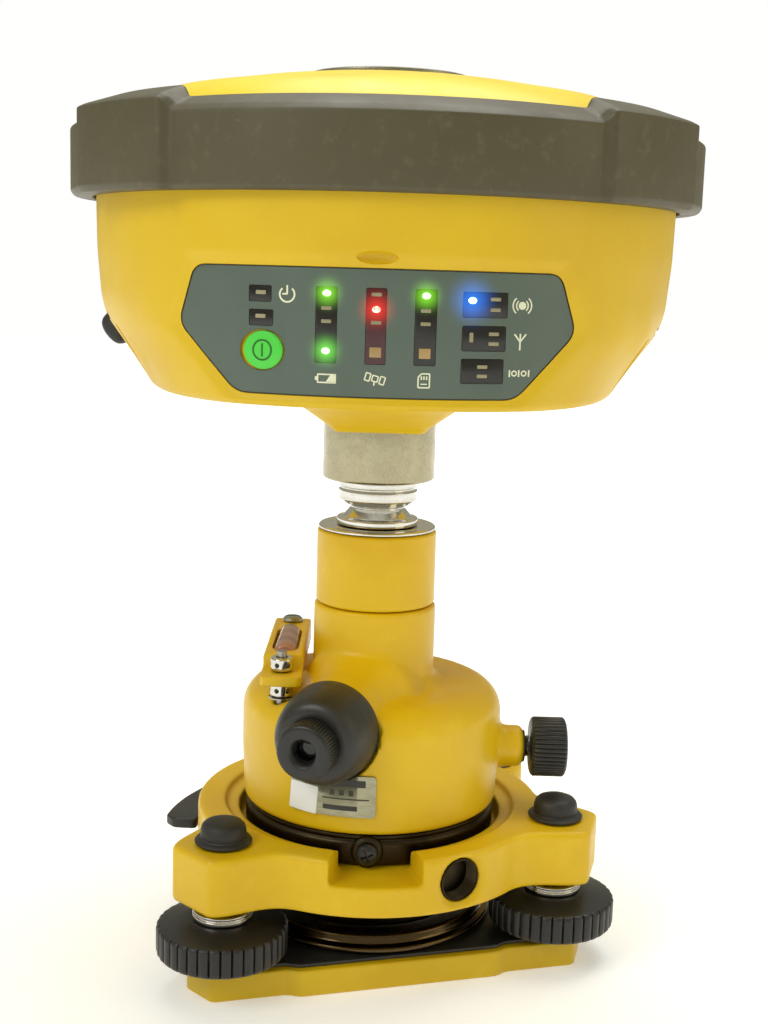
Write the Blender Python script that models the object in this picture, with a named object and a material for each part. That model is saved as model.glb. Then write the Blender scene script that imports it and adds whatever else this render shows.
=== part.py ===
"""Satellite-positioning receiver on a rotating adapter with an optical plummet, on a tribrach.

Blender units are metres, +Z is up and the receiver's keypad faces -Y. The origin is on the
instrument's vertical axis, in the plane of the base plate's underside. Sizes below are in
millimetres, and MM turns them into metres when a mesh or a place is made.
"""

from math import acos, atan2, cos, degrees, pi, radians, sin, sqrt

import bmesh
import bpy
from mathutils import Matrix, Vector

MM = 0.001
GAP = 0.3            # clearance between pieces that touch on the real instrument
ROUND = 36           # segments of a large round piece
SMALL = 20           # segments of a small round piece
FINE = 12            # segments of a screw or a pin

# --- tribrach -------------------------------------------------------------------------------
TRIBRACH_TURN = 15.5                       # the tribrach's front face, degrees from -Y
FOOT_CIRCLE = 59.3                         # foot screws' distance from the axis
FOOT_ANGLES = {"a": 210.0, "b": 330.0, "c": 90.0}
PLATE_TOP = 8.0
PLATE_SIDE, PLATE_PROUD = 39.2, 41.2       # distance of a side, and of its proud middle
PLATE_CORNER = 68.0                        # distance of a cut corner
BALL_R, FOOT_NECK_R, FOOT_STEM_R = 5.0, 3.6, 4.0
KNOB_R, KNOB_LOW, KNOB_TOP = 19.2, 11.5, 22.0
KNOB_FLUTES = 36
THREAD_R = 15.875 / 2                      # 5/8 inch survey thread
BODY_LOW, BODY_TOP = 27.5, 44.5
BODY_RING_R, LOBE_R, FILLET_R = 54.0, 14.6, 16.0
SEAT_R, SEAT_STEP_R = 41.0, 45.3
SEAT_LOW, SEAT_STEP = 36.7, 39.5
LOCK_POCKET_R, LOCK_ROOF = 44.0, 34.4
SIGHT_R = 16.0                             # clear way for the plummet's line of sight
STUD_CIRCLE, STUD_R, STUD_WAIST_R = 28.0, 4.6, 3.0
STUD_ANGLES = (90.0, 210.0, 330.0)
LEVEL_ANGLE, LEVEL_CIRCLE, LEVEL_R = 45.5, 57.5, 9.0
LEVER_LOW, LEVER_HIGH = 30.0, 33.2
NOTCH, LEVER_SLOT = (-101.6, -72.3), (131.0, 199.0)      # degrees from +X, start and end
PORT_ANGLE, PORT_R, PORT_Z = -59.0, 6.2, 36.6

# --- adapter --------------------------------------------------------------------------------
FLANGE_LOW, FLANGE_TOP, FLANGE_R = 37.0, 46.3, 39.0
ADAPTER_LOW, ADAPTER_R, LOWER_NECK_R, NECK_R = 46.6, 40.3, 18.8, 18.25
SPINDLE_R, SPINDLE_TOP = 16.8, 67.0
SEAM = 108.0
NECK_TOP = 130.8
PLUMMET_Z, PLUMMET_TURN = 77.0, 18.0       # height of its axis, and degrees from -Y towards -X
TUBE_R, TUBE_END = 13.7, 35.2
SLEEVE_R, SLEEVE_END, EYEPIECE_R, EYEPIECE_END = 14.5, 52.0, 8.2, 60.0
CLAMP_Y, CLAMP_Z, CLAMP_BOSS_R = -4.0, 63.5, 6.4
CLAMP_BOSS_END, CLAMP_KNOB_START, CLAMP_KNOB_END, CLAMP_KNOB_R = 47.6, 49.8, 60.8, 9.2
VIAL_X, VIAL_HALF_WIDTH, VIAL_HALF_LENGTH = -27.0, 6.0, 29.5
VIAL_LOW, VIAL_TOP, VIAL_LIP_TOP = 87.6, 94.3, 90.6
VIAL_NUT_Y, VIAL_PIVOT_Y, VIAL_NUT_R = -22.5, 24.5, 3.35

# --- receiver -------------------------------------------------------------------------------
SLEEVE_BOTTOM, MOUNT_FACE = 146.3, 170.0   # the steel sleeve, and the boss it screws against
HOUSING_LOW = 174.5
HOUSING_A, HOUSING_B = 85.0, 84.0          # plan half-axes of the yellow housing
HOUSING_RIM = 231.0
WALL = 2.6
BAND_A, BAND_B = 92.3, 87.0                # plan half-axes of the rubber band
BAND_LOW, BAND_TOP, BAND_LIP = 227.0, 248.0, 250.7
BUMPER_PROUD = 2.2
CAP_TOP, CAP_R, CAP_FLAT_R = 265.2, 24.4, 16.0
DOME_PEAK, DOME_DROP = 264.3, 0.0018       # height at the centre, and fall per square millimetre
DOME_R = 80.0                              # where the dome goes under the band
CHAMFER_LOW, CHAMFER_HIGH = (67.2, 175.0), (81.2, 193.5)
DOOR_LENGTH, DOOR_HALF_WIDTH, DOOR_THICK = 18.0, 26.0, 2.4
DOOR_UP, LATCH_UP = 3.0, 8.8               # their middles, up the slope from the chamfer's middle
SCOOP_Y = 31.5
PANEL_X, PANEL_LOW, PANEL_TIP, PANEL_HIGH = -1.2, 177.8, 194.3, 208.8
PANEL_LOW_HALF, PANEL_TIP_HALF, PANEL_HIGH_HALF = 34.9, 50.4, 45.9
PANEL_THICK = 0.8
BUTTON_X, BUTTON_Z, BUTTON_R = -29.4, 188.4, 5.0


# --- making and placing meshes --------------------------------------------------------------

def clear_scene():
    for obj in list(bpy.data.objects):
        bpy.data.objects.remove(obj, do_unlink=True)


def make_material(name, colour, roughness, metallic=0.0):
    made = bpy.data.materials.new(name)
    made.use_nodes = True
    shader = made.node_tree.nodes["Principled BSDF"]
    shader.inputs["Base Color"].default_value = (*colour, 1.0)
    shader.inputs["Roughness"].default_value = roughness
    shader.inputs["Metallic"].default_value = metallic
    made.diffuse_color = (*colour, 1.0)
    return made


def polar(radius, angle):
    """The point (x, y) at this radius and this angle in degrees from +X."""
    return radius * cos(radians(angle)), radius * sin(radians(angle))


def arc(centre, radius, start, end, steps):
    """Points of an arc, both ends included, angles in degrees."""
    points = []
    for i in range(steps + 1):
        x, y = polar(radius, start + (end - start) * i / steps)
        points.append((centre[0] + x, centre[1] + y))
    return points


def circle(radius, steps=ROUND, centre=(0.0, 0.0)):
    return arc(centre, radius, 0.0, 360.0, steps)[:-1]


def turned_about(outline, angle):
    """An outline turned about the origin by an angle in degrees."""
    c, s = cos(radians(angle)), sin(radians(angle))
    return [(c * x - s * y, s * x + c * y) for x, y in outline]


def finish_mesh(name, mesh_builder, material, place=None, sharp=32.0):
    """Turns a bmesh in millimetres into an object at a place given by a matrix in millimetres."""
    bmesh.ops.recalc_face_normals(mesh_builder, faces=mesh_builder.faces)
    bmesh.ops.scale(mesh_builder, vec=(MM, MM, MM), verts=mesh_builder.verts)
    mesh = bpy.data.meshes.new(name)
    mesh_builder.to_mesh(mesh)
    mesh_builder.free()
    mesh.shade_smooth()
    mesh.set_sharp_from_angle(angle=radians(sharp))
    if material:
        mesh.materials.append(material)
    obj = bpy.data.objects.new(name, mesh)
    bpy.context.scene.collection.objects.link(obj)
    if place:
        placed = place.copy()
        placed.translation = place.translation * MM
        obj.matrix_world = placed
    return obj


def at(x, y, z):
    return Matrix.Translation((x, y, z))


def along(direction, start):
    """A place whose +Z runs along a direction from a start point."""
    turn = Vector(direction).normalized().to_track_quat("Z", "Y").to_matrix().to_4x4()
    return Matrix.Translation(start) @ turn


def loft(name, rings, material=None, place=None, ring_closed=False, sharp=32.0):
    """A closed solid through rings of points. The ends are capped, or joined if ring_closed."""
    build = bmesh.new()
    rows = [[build.verts.new(point) for point in ring] for ring in rings]
    pairs = list(zip(rows, rows[1:]))
    if ring_closed:
        pairs.append((rows[-1], rows[0]))
    for low, high in pairs:
        for i in range(len(low)):
            j = (i + 1) % len(low)
            build.faces.new((low[i], low[j], high[j], high[i]))
    if not ring_closed:
        build.faces.new(rows[0])
        build.faces.new(rows[-1])
    return finish_mesh(name, build, material, place, sharp)


def prism(name, outline, low, high, material=None, place=None, sharp=32.0):
    rings = [[(x, y, z) for x, y in outline] for z in (low, high)]
    return loft(name, rings, material, place, sharp=sharp)


def box(name, low, high, material=None, place=None):
    outline = [(low[0], low[1]), (high[0], low[1]), (high[0], high[1]), (low[0], high[1])]
    return prism(name, outline, low[2], high[2], material, place)


def turned(name, profile, material=None, place=None, steps=ROUND, sharp=32.0):
    """A solid turned about +Z from a profile of (radius, height) points.

    A profile that starts and ends on the axis makes a solid piece. Any other profile is
    closed from its last point to its first and makes a ring."""
    build = bmesh.new()
    rows = []
    for radius, height in profile:
        if radius == 0.0:
            rows.append([build.verts.new((0.0, 0.0, height))])
        else:
            rows.append([build.verts.new((x, y, height)) for x, y in circle(radius, steps)])
    pairs = list(zip(rows, rows[1:]))
    if profile[0][0] > 0.0:
        pairs.append((rows[-1], rows[0]))
    for low, high in pairs:
        for i in range(steps):
            j = (i + 1) % steps
            corners = [low[i % len(low)], low[j % len(low)],
                       high[j % len(high)], high[i % len(high)]]
            build.faces.new(list(dict.fromkeys(corners)))
    return finish_mesh(name, build, material, place, sharp)


def rod(name, radius, low, high, material=None, place=None, steps=SMALL, bore=0.0):
    """A round bar, or a tube where a bore is given."""
    if bore:
        profile = [(bore, low), (radius, low), (radius, high), (bore, high)]
    else:
        profile = [(0.0, low), (radius, low), (radius, high), (0.0, high)]
    return turned(name, profile, material, place, steps)


def sector(name, inner, outer, start, end, low, high, material=None, steps=10):
    """A slice of a ring about the vertical axis, angles in degrees."""
    outline = arc((0, 0), outer, start, end, steps) + arc((0, 0), inner, end, start, steps)
    return prism(name, outline, low, high, material)


def helper(obj):
    """Marks an object that only shapes another one."""
    obj.hide_render = True
    obj.display_type = "WIRE"
    return obj


def combine(obj, operation, *others):
    """Boolean modifiers. Every solid here is closed, and EXACT leaves slits on the turned ones."""
    for other in others:
        modifier = obj.modifiers.new(f"{operation.lower()}_{other.name}", "BOOLEAN")
        modifier.operation = operation
        modifier.solver = "MANIFOLD"
        modifier.object = helper(other)
    return obj


def cut(obj, *cutters):
    return combine(obj, "DIFFERENCE", *cutters)


def join(obj, *additions):
    return combine(obj, "UNION", *additions)


# --- the tribrach's outlines ----------------------------------------------------------------

def foot_place(foot):
    return polar(FOOT_CIRCLE, FOOT_ANGLES[foot] + TRIBRACH_TURN)


def plate_outline(inset=0.0):
    """The base plate: three long sides with proud middles, and three cut corners."""
    side, proud = PLATE_SIDE - inset, PLATE_PROUD - inset
    half = (PLATE_CORNER - inset - side * cos(radians(60))) / sin(radians(60))
    stretch = ((-half, side), (-33.0, side), (-30.0, proud), (30.0, proud), (33.0, side),
               (half, side))
    outline = []
    for facing in (270.0, 30.0, 150.0):
        for t, distance in stretch:
            x, y = polar(distance, facing)
            outline.append((x + t * cos(radians(facing + 90)), y + t * sin(radians(facing + 90))))
    return turned_about(outline, TRIBRACH_TURN)


def body_outline():
    """A ring with three lobes, joined by hollow fillets that touch both."""
    reach, lobe_reach = BODY_RING_R + FILLET_R, LOBE_R + FILLET_R
    spread = degrees(acos((reach**2 + FOOT_CIRCLE**2 - lobe_reach**2) / (2 * reach * FOOT_CIRCLE)))
    outline = []
    for facing in sorted(FOOT_ANGLES.values()):
        lobe = polar(FOOT_CIRCLE, facing)
        before, after = polar(reach, facing - spread), polar(reach, facing + spread)
        to_before = degrees(atan2(before[1] - lobe[1], before[0] - lobe[0]))
        to_after = degrees(atan2(after[1] - lobe[1], after[0] - lobe[0]))
        sweep = (to_after - to_before) % 360.0
        hollow = (180.0 + facing - spread) - (to_before - 180.0)
        hollow = (hollow + 180.0) % 360.0 - 180.0
        start = 180.0 + facing - spread
        outline += arc(before, FILLET_R, start, start - hollow, 5)
        outline += arc(lobe, LOBE_R, to_before, to_before + sweep, 12)[1:]
        start = to_after - 180.0
        outline += arc(after, FILLET_R, start, start - hollow, 5)[1:]
        outline += arc((0, 0), BODY_RING_R, facing + spread, facing + 120.0 - spread, 9)[1:-1]
    return turned_about(outline, TRIBRACH_TURN)


# --- the tribrach ---------------------------------------------------------------------------

def make_base(paint, black, steel, brass):
    plate = prism("base_plate", plate_outline(), 0.0, PLATE_TOP, paint)
    cut(plate, rod("cut_base_bore", 11.0, -1.0, PLATE_TOP + 1.0, steps=SMALL))
    for foot in FOOT_ANGLES:
        x, y = foot_place(foot)
        cut(plate, rod(f"cut_socket_{foot}", BALL_R + 0.6, 2.5, PLATE_TOP + 1.0, place=at(x, y, 0)))

    rod("tripod_bush", 10.7, 0.4, PLATE_TOP + 1.2, brass, bore=THREAD_R)

    sheet_low, sheet_high = PLATE_TOP + GAP, PLATE_TOP + GAP + 0.9
    sheet = prism("spring_plate", plate_outline(2.0), sheet_low, sheet_high, black)
    cut(sheet, rod("cut_sheet_bore", 20.0, sheet_low - 1, sheet_high + 1))
    for foot in FOOT_ANGLES:
        x, y = foot_place(foot)
        cut(sheet, rod(f"cut_sheet_{foot}", FOOT_NECK_R + 0.9, sheet_low - 1, sheet_high + 1,
                       place=at(x, y, 0)))

    ring_low = sheet_high + GAP
    turned("centre_ring", [
        (19.0, ring_low), (38.6, ring_low), (39.2, ring_low + 0.6), (39.2, ring_low + 1.8),
        (37.0, ring_low + 2.2), (36.2, ring_low + 4.6), (35.0, ring_low + 5.2), (19.0, ring_low + 5.2)],
        steel)


def make_foot_screws(steel, black, rubber):
    for foot in FOOT_ANGLES:
        x, y = foot_place(foot)
        place = at(x, y, 0)
        profile = [(0.0, 2.9), (3.6, 2.9), (BALL_R, 4.0), (BALL_R, 6.6), (FOOT_NECK_R, 7.6),
                   (FOOT_NECK_R, KNOB_TOP + GAP), (8.8, KNOB_TOP + GAP), (8.8, 25.0), (8.2, 25.5),
                   (FOOT_STEM_R, 25.5), (FOOT_STEM_R, 39.0), (FOOT_STEM_R - 0.6, 39.5), (0.0, 39.5)]
        turned(f"foot_screw_{foot}", profile, steel, place, steps=SMALL)
        flutes = []
        for i in range(KNOB_FLUTES):
            middle = 360.0 * i / KNOB_FLUTES
            flutes += [polar(KNOB_R, middle), polar(KNOB_R - 0.9, middle + 6.5)]
        low, high = KNOB_LOW, KNOB_TOP
        knob = loft(f"foot_knob_{foot}", [
            [(fx * 0.965, fy * 0.965, low) for fx, fy in flutes],
            [(fx, fy, low + 0.8) for fx, fy in flutes],
            [(fx, fy, high - 1.8) for fx, fy in flutes],
            [(fx * 0.52, fy * 0.52, high) for fx, fy in flutes]], black, place)
        cut(knob, rod(f"cut_knob_{foot}", FOOT_NECK_R + GAP, low - 1, high + 1, place=place, steps=FINE))
        top = BODY_TOP + GAP
        turned(f"foot_cap_{foot}", [
            (0.0, 42.3), (4.1, 42.3), (4.1, top), (8.0, top), (8.4, top + 0.4), (8.1, top + 1.2),
            (6.9, top + 1.6), (6.6, top + 2.6), (6.4, top + 5.2), (5.2, top + 6.2), (0.0, top + 6.6)],
            rubber, place, steps=SMALL)


def make_tribrach_body(paint, steel, glass, dark):
    body = prism("tribrach_body", body_outline(), BODY_LOW, BODY_TOP, paint)
    x, y = polar(LEVEL_CIRCLE, LEVEL_ANGLE)
    level = at(x, y, 0)
    join(body, rod("add_level_boss", LEVEL_R + 3.0, BODY_LOW + 2.0, BODY_TOP - 1.5, place=level))
    bores = [rod("cut_seat", SEAT_R, SEAT_LOW, BODY_TOP + 1, steps=ROUND),
             rod("cut_seat_step", SEAT_STEP_R, SEAT_STEP, BODY_TOP + 1, steps=ROUND),
             rod("cut_sight", SIGHT_R, BODY_LOW - 1, BODY_TOP),
             rod("cut_lock_pocket", LOCK_POCKET_R, BODY_LOW - 1, LOCK_ROOF, steps=ROUND),
             rod("cut_level", LEVEL_R + GAP, 34.0, BODY_TOP + 1, place=level),
             sector("cut_notch", SEAT_R - 2, BODY_RING_R + 8, *NOTCH, SEAT_LOW, BODY_TOP + 1, steps=6),
             sector("cut_lever_slot", LOCK_POCKET_R - 2, BODY_RING_R + 4, *LEVER_SLOT, 29.4, 33.9,
                    steps=14)]
    for foot in FOOT_ANGLES:
        fx, fy = foot_place(foot)
        bores.append(rod(f"cut_lobe_{foot}", FOOT_STEM_R + 0.4, BODY_LOW - 1, BODY_TOP + 1,
                         place=at(fx, fy, 0)))
    for number, angle in enumerate(STUD_ANGLES):
        sx, sy = polar(STUD_CIRCLE, angle)
        bores.append(rod(f"cut_stud_{number}", STUD_R + 0.7, LOCK_ROOF - 2, SEAT_LOW + 2,
                         place=at(sx, sy, 0)))
    outward = Vector((*polar(1.0, PORT_ANGLE), 0.0))
    port = along(outward, outward * 47.8 + Vector((0, 0, PORT_Z)))
    bores.append(rod("cut_port", PORT_R, 0.0, 12.0, place=port))
    cut(body, *bores)

    rod("tribrach_cover", LOCK_POCKET_R - GAP, BODY_LOW, BODY_LOW + 1.2, dark, steps=ROUND, bore=SIGHT_R)
    turned("circular_level_cup", [
        (0.0, 34.4), (LEVEL_R, 34.4), (LEVEL_R, 47.2), (LEVEL_R - 0.6, 47.8), (LEVEL_R - 2.4, 47.8),
        (LEVEL_R - 2.4, 38.0), (0.0, 38.0)], steel, level, steps=SMALL)
    turned("circular_level_glass", [
        (0.0, 38.4), (LEVEL_R - 2.8, 38.4), (LEVEL_R - 2.8, 46.4), (4.0, 47.1), (0.0, 47.3)],
        glass, level, steps=SMALL)


def make_lock(black, steel):
    ring = rod("clamp_ring", LOCK_POCKET_R - 0.6, 29.2, 34.0, steel, steps=ROUND, bore=33.4)
    for number, angle in enumerate(STUD_ANGLES):
        join(ring, sector(f"add_claw_{number}", 31.4, 34.0, angle - 11, angle + 11, 30.6, 32.4, steps=5))
    neck_start, neck_end, fan_start, fan_end = 150.0, 168.0, 142.0, 177.0
    inner, wall, outer = LOCK_POCKET_R - 0.3, BODY_RING_R + 1.6, 66.0
    outline = arc((0, 0), inner, neck_end, neck_start, 4) + [polar(wall, neck_start), polar(wall, fan_start)]
    outline += [polar(outer - 5, fan_start - 1)] + arc((0, 0), outer, fan_start + 3, fan_end - 3, 8)
    outline += [polar(outer - 3, fan_end), polar(wall, fan_end), polar(wall, neck_end)]
    prism("lock_lever", outline, LEVER_LOW, LEVER_HIGH, black)


# --- the adapter ----------------------------------------------------------------------------

def plummet_axis(distance, lift=0.0):
    """A point on the plummet's axis, at a distance from the vertical axis."""
    x, y = polar(distance, -90.0 - PLUMMET_TURN)
    return Vector((x, y, PLUMMET_Z + lift))


def plummet_place():
    return along(plummet_axis(1.0) - plummet_axis(0.0), plummet_axis(0.0))


def make_flange(dark, black, steel):
    flange = turned("adapter_flange", [
        (SIGHT_R, FLANGE_LOW), (FLANGE_R - 1.2, FLANGE_LOW), (FLANGE_R, FLANGE_LOW + 1.0),
        (FLANGE_R, 44.0), (FLANGE_R - 0.7, FLANGE_TOP), (SIGHT_R, FLANGE_TOP)], dark)
    key_hub = along((0, -1, 0), (0, -30.0, 41.5))
    join(flange, rod("add_key_hub", 4.4, 0.0, 10.0, place=key_hub))
    for number, angle in enumerate(STUD_ANGLES):
        x, y = polar(STUD_CIRCLE, angle)
        profile = [(0.0, 29.0), (STUD_R - 0.8, 29.0), (STUD_R, 29.8), (STUD_R, 30.2), (STUD_WAIST_R, 30.4),
                   (STUD_WAIST_R, 32.6), (STUD_R, 33.0), (STUD_R, 38.5), (0.0, 38.5)]
        join(flange, turned(f"add_stud_{number}", profile, place=at(x, y, 0), steps=FINE))
    cut(flange, rod("cut_key", 1.8, 2.0, 12.0, place=key_hub, steps=FINE))
    turned("key_screw", [
        (0.0, 4.0), (1.5, 4.0), (1.5, 10.3), (3.2, 10.3), (3.2, 11.6), (2.4, 12.4), (1.6, 12.5), (0.8, 11.6),
        (0.0, 11.6)], black, key_hub, steps=FINE)
    turned("axis_spindle", [
        (12.3, ADAPTER_LOW), (24.0, ADAPTER_LOW), (24.0, 49.0), (SPINDLE_R, 49.0), (SPINDLE_R, SPINDLE_TOP),
        (12.3, SPINDLE_TOP)], steel)


def make_adapter_body(paint):
    profile = [(0.0, ADAPTER_LOW), (38.7, ADAPTER_LOW), (39.5, 47.4), (ADAPTER_R, 64.0)]
    profile += arc((ADAPTER_R - 9.0, 74.5), 9.0, 0.0, 88.0, 6)
    profile += [(21.0, 84.0), (19.3, 85.2), (LOWER_NECK_R, 87.5), (LOWER_NECK_R, SEAM - 0.7),
                (LOWER_NECK_R - 0.4, SEAM - 0.2), (0.0, SEAM - 0.2)]
    body = turned("adapter_body", profile, paint)
    tube = turned("add_tube", [
        (0.0, 2.0), (19.5, 2.0), (19.0, 16.5), (16.0, 20.5), (14.4, 26.0), (TUBE_R, TUBE_END),
        (0.0, TUBE_END)], place=plummet_place(), steps=SMALL)
    clamp = along((1, 0, 0), (0.0, CLAMP_Y, CLAMP_Z))
    boss = turned("add_clamp_boss", [
        (0.0, 32.0), (CLAMP_BOSS_R + 0.5, 32.0), (CLAMP_BOSS_R, 41.5), (CLAMP_BOSS_R, CLAMP_BOSS_END - 0.6),
        (CLAMP_BOSS_R - 0.6, CLAMP_BOSS_END), (0.0, CLAMP_BOSS_END)], place=clamp, steps=SMALL)
    pad = rod("add_vial_pad", 4.4, 66.0, VIAL_LOW - GAP, place=at(VIAL_X, VIAL_PIVOT_Y, 0), steps=FINE)
    join(body, tube, boss, pad)
    vial_room = box("cut_vial_room", (VIAL_X - VIAL_HALF_WIDTH - 2, -VIAL_HALF_LENGTH - 2, VIAL_LOW - GAP),
                    (VIAL_X + VIAL_HALF_WIDTH + 0.6, VIAL_HALF_LENGTH + 2, VIAL_TOP + 6))
    cut(body, vial_room,
        rod("cut_spindle_flange", 24.5, ADAPTER_LOW - 1, 49.5),
        rod("cut_spindle", SPINDLE_R + 0.4, 46.0, SPINDLE_TOP + 0.5, steps=ROUND),
        rod("cut_prism_room", 12.0, 60.0, 85.0),
        rod("cut_tube_bore", 6.6, 1.0, TUBE_END + 2, place=plummet_place()),
        rod("cut_sleeve_room", SLEEVE_R + 0.6, TUBE_END, 60.0, place=plummet_place()),
        rod("cut_clamp_bore", 3.2, 26.0, CLAMP_BOSS_END + 2, place=clamp, steps=FINE),
        rod("cut_neck_bore", 5.2, 95.0, SEAM + 2, steps=FINE),
        rod("cut_vial_screw", 1.9, 72.0, VIAL_TOP, place=at(VIAL_X, VIAL_PIVOT_Y, 0), steps=FINE),
        rod("cut_vial_post", 1.9, 68.0, VIAL_TOP, place=at(VIAL_X, VIAL_NUT_Y, 0), steps=FINE),
        rod("cut_nut_seat", VIAL_NUT_R + 0.9, VIAL_LOW - 5.1, VIAL_TOP, place=at(VIAL_X, VIAL_NUT_Y, 0)))


def make_plummet(black, glass):
    place = plummet_place()
    turned("plummet_sleeve", [
        (7.0, TUBE_END + GAP), (SLEEVE_R - 0.4, TUBE_END + GAP), (SLEEVE_R, TUBE_END + 1.0), (14.4, 39.0),
        (13.7, 45.0), (12.9, 49.5), (11.8, 51.3), (10.2, SLEEVE_END), (7.0, SLEEVE_END)], black, place)
    turned("eyepiece_knob", [
        (4.2, 41.0), (6.4, 41.0), (6.4, SLEEVE_END + GAP), (EYEPIECE_R - 0.5, SLEEVE_END + GAP),
        (EYEPIECE_R, SLEEVE_END + 0.9), (EYEPIECE_R, EYEPIECE_END - 0.7), (EYEPIECE_R - 0.7, EYEPIECE_END),
        (3.4, EYEPIECE_END), (2.8, EYEPIECE_END - 1.6), (2.8, 56.6), (4.2, 56.6)], black, place)
    turned("eyepiece_lens", [(0.0, 52.0), (3.9, 52.6), (3.9, 55.4), (0.0, 56.0)], glass, place, steps=FINE)
    rod("plummet_objective", 11.7, 68.2, 70.4, glass)
    box("plummet_prism", (-7.0, -7.0, 71.0), (7.0, 7.0, 83.6), glass,
        Matrix.Rotation(radians(-PLUMMET_TURN), 4, "Z"))


def make_clamp(steel, black):
    clamp = along((1, 0, 0), (0.0, CLAMP_Y, CLAMP_Z))
    turned("clamp_shaft", [
        (0.0, 27.5), (2.8, 27.5), (2.8, CLAMP_KNOB_START - 0.4), (0.0, CLAMP_KNOB_START - 0.4)],
        steel, clamp, steps=FINE)
    turned("clamp_knob", [
        (0.0, CLAMP_KNOB_START), (CLAMP_KNOB_R - 0.5, CLAMP_KNOB_START),
        (CLAMP_KNOB_R, CLAMP_KNOB_START + 0.5), (CLAMP_KNOB_R, CLAMP_KNOB_END - 0.5),
        (CLAMP_KNOB_R - 0.5, CLAMP_KNOB_END), (0.0, CLAMP_KNOB_END)], black, clamp, steps=ROUND)


def make_vial(paint, glass, steel):
    x, half, length = VIAL_X, VIAL_HALF_WIDTH, VIAL_HALF_LENGTH
    pivot = (x, VIAL_PIVOT_Y, VIAL_LOW)
    holder = box("vial_holder", (-half, -length - VIAL_PIVOT_Y, 0.0),
                 (half, length - VIAL_PIVOT_Y, VIAL_TOP - VIAL_LOW), paint, at(*pivot))
    cut(holder,
        box("cut_vial_lip", (x - half - 1, -length - 1, VIAL_LIP_TOP), (x + half + 1, -17.0, VIAL_TOP + 1)),
        box("cut_vial_window", (x - 4.2, -13.0, VIAL_LOW + 0.9), (x + 4.2, 15.0, VIAL_TOP + 1)),
        rod("cut_holder_screw", 2.0, VIAL_LOW - 1, VIAL_TOP + 1, place=at(x, VIAL_PIVOT_Y, 0), steps=FINE),
        rod("cut_holder_post", 2.3, VIAL_LOW - 1, VIAL_TOP + 1, place=at(x, VIAL_NUT_Y, 0), steps=FINE))
    rod("vial_tube", 3.7, -13.7, 13.7, glass, along((0, 1, 0), (x, 1.0, VIAL_LOW + 4.9)), steps=FINE)
    rod("vial_post", 1.5, 69.0, VIAL_LIP_TOP + 6.2, steel, at(x, VIAL_NUT_Y, 0), steps=FINE)
    turned("vial_pivot_screw", [
        (0.0, 73.0), (1.5, 73.0), (1.5, VIAL_TOP + GAP), (3.2, VIAL_TOP + GAP), (3.2, VIAL_TOP + 1.1),
        (2.4, VIAL_TOP + 1.9), (0.0, VIAL_TOP + 1.9)], steel, at(x, VIAL_PIVOT_Y, 0), steps=FINE)
    for name, low in (("vial_nut_upper", VIAL_LIP_TOP + GAP), ("vial_nut_lower", VIAL_LOW - GAP - 4.2)):
        profile = [(1.8, low), (VIAL_NUT_R - 0.4, low), (VIAL_NUT_R, low + 0.4), (VIAL_NUT_R, low + 3.8),
                   (VIAL_NUT_R - 0.4, low + 4.2), (1.8, low + 4.2)]
        turned(name, profile, steel, at(x, VIAL_NUT_Y, 0), steps=SMALL)


def make_neck(paint, chrome, steel, label):
    turned("neck_upper", [
        (6.4, SEAM + 0.1), (NECK_R - 0.4, SEAM + 0.1), (NECK_R, SEAM + 0.6), (NECK_R, NECK_TOP - 0.5),
        (NECK_R - 0.5, NECK_TOP), (6.4, NECK_TOP)], paint)
    low = NECK_TOP + GAP
    turned("top_plate", [
        (6.4, low), (18.0, low), (18.0, low + 0.6), (17.6, low + 1.0), (6.4, low + 1.0)], chrome)
    seat = low + 1.0 + GAP
    turned("quick_stud", [
        (0.0, 99.0), (4.8, 99.0), (4.8, SEAM), (6.0, SEAM + 0.2), (6.0, seat), (12.5, seat),
        (12.5, seat + 2.0), (10.6, seat + 2.2), (8.3, seat + 5.0), (8.3, seat + 5.4), (12.0, seat + 7.4),
        (12.0, SLEEVE_BOTTOM - GAP), (7.0, SLEEVE_BOTTOM - GAP), (7.0, 157.5), (0.0, 157.5)], chrome)
    turned("steel_sleeve", [
        (0.0, 158.5), (7.3, 158.5), (7.3, SLEEVE_BOTTOM), (16.7, SLEEVE_BOTTOM), (17.1, SLEEVE_BOTTOM + 0.4),
        (17.1, MOUNT_FACE - 0.4), (THREAD_R - 0.4, MOUNT_FACE - 0.4), (THREAD_R - 0.4, 181.5),
        (0.0, 181.5)], steel)
    plate = sector("name_plate", 40.45, 40.85, -110.0, -87.0, 52.5, 65.0, label, steps=8)
    cut(plate, rod("cut_plate_corner", SLEEVE_R + 0.4, 30.0, 60.0, place=plummet_place()))


# --- the receiver ---------------------------------------------------------------------------

def ellipse_radius(a, b, angle):
    """The distance from the axis to an ellipse with half-axes a along X and b along Y."""
    return 1.0 / sqrt((cos(angle) / a) ** 2 + (sin(angle) / b) ** 2)


def plan_outline(a, b, steps=72, proud=0.0):
    """The receiver's plan. Proud lifts the four corner bumpers, 36 to 63 degrees from front and back."""
    outline = []
    for i in range(steps):
        angle = 2 * pi * i / steps
        from_front = degrees(acos(min(1.0, abs(sin(angle)))))
        lift = proud if 35.5 <= from_front <= 63.5 else 0.0
        radius = ellipse_radius(a, b, angle) + lift
        outline.append((radius * cos(angle), radius * sin(angle)))
    return outline


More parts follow.
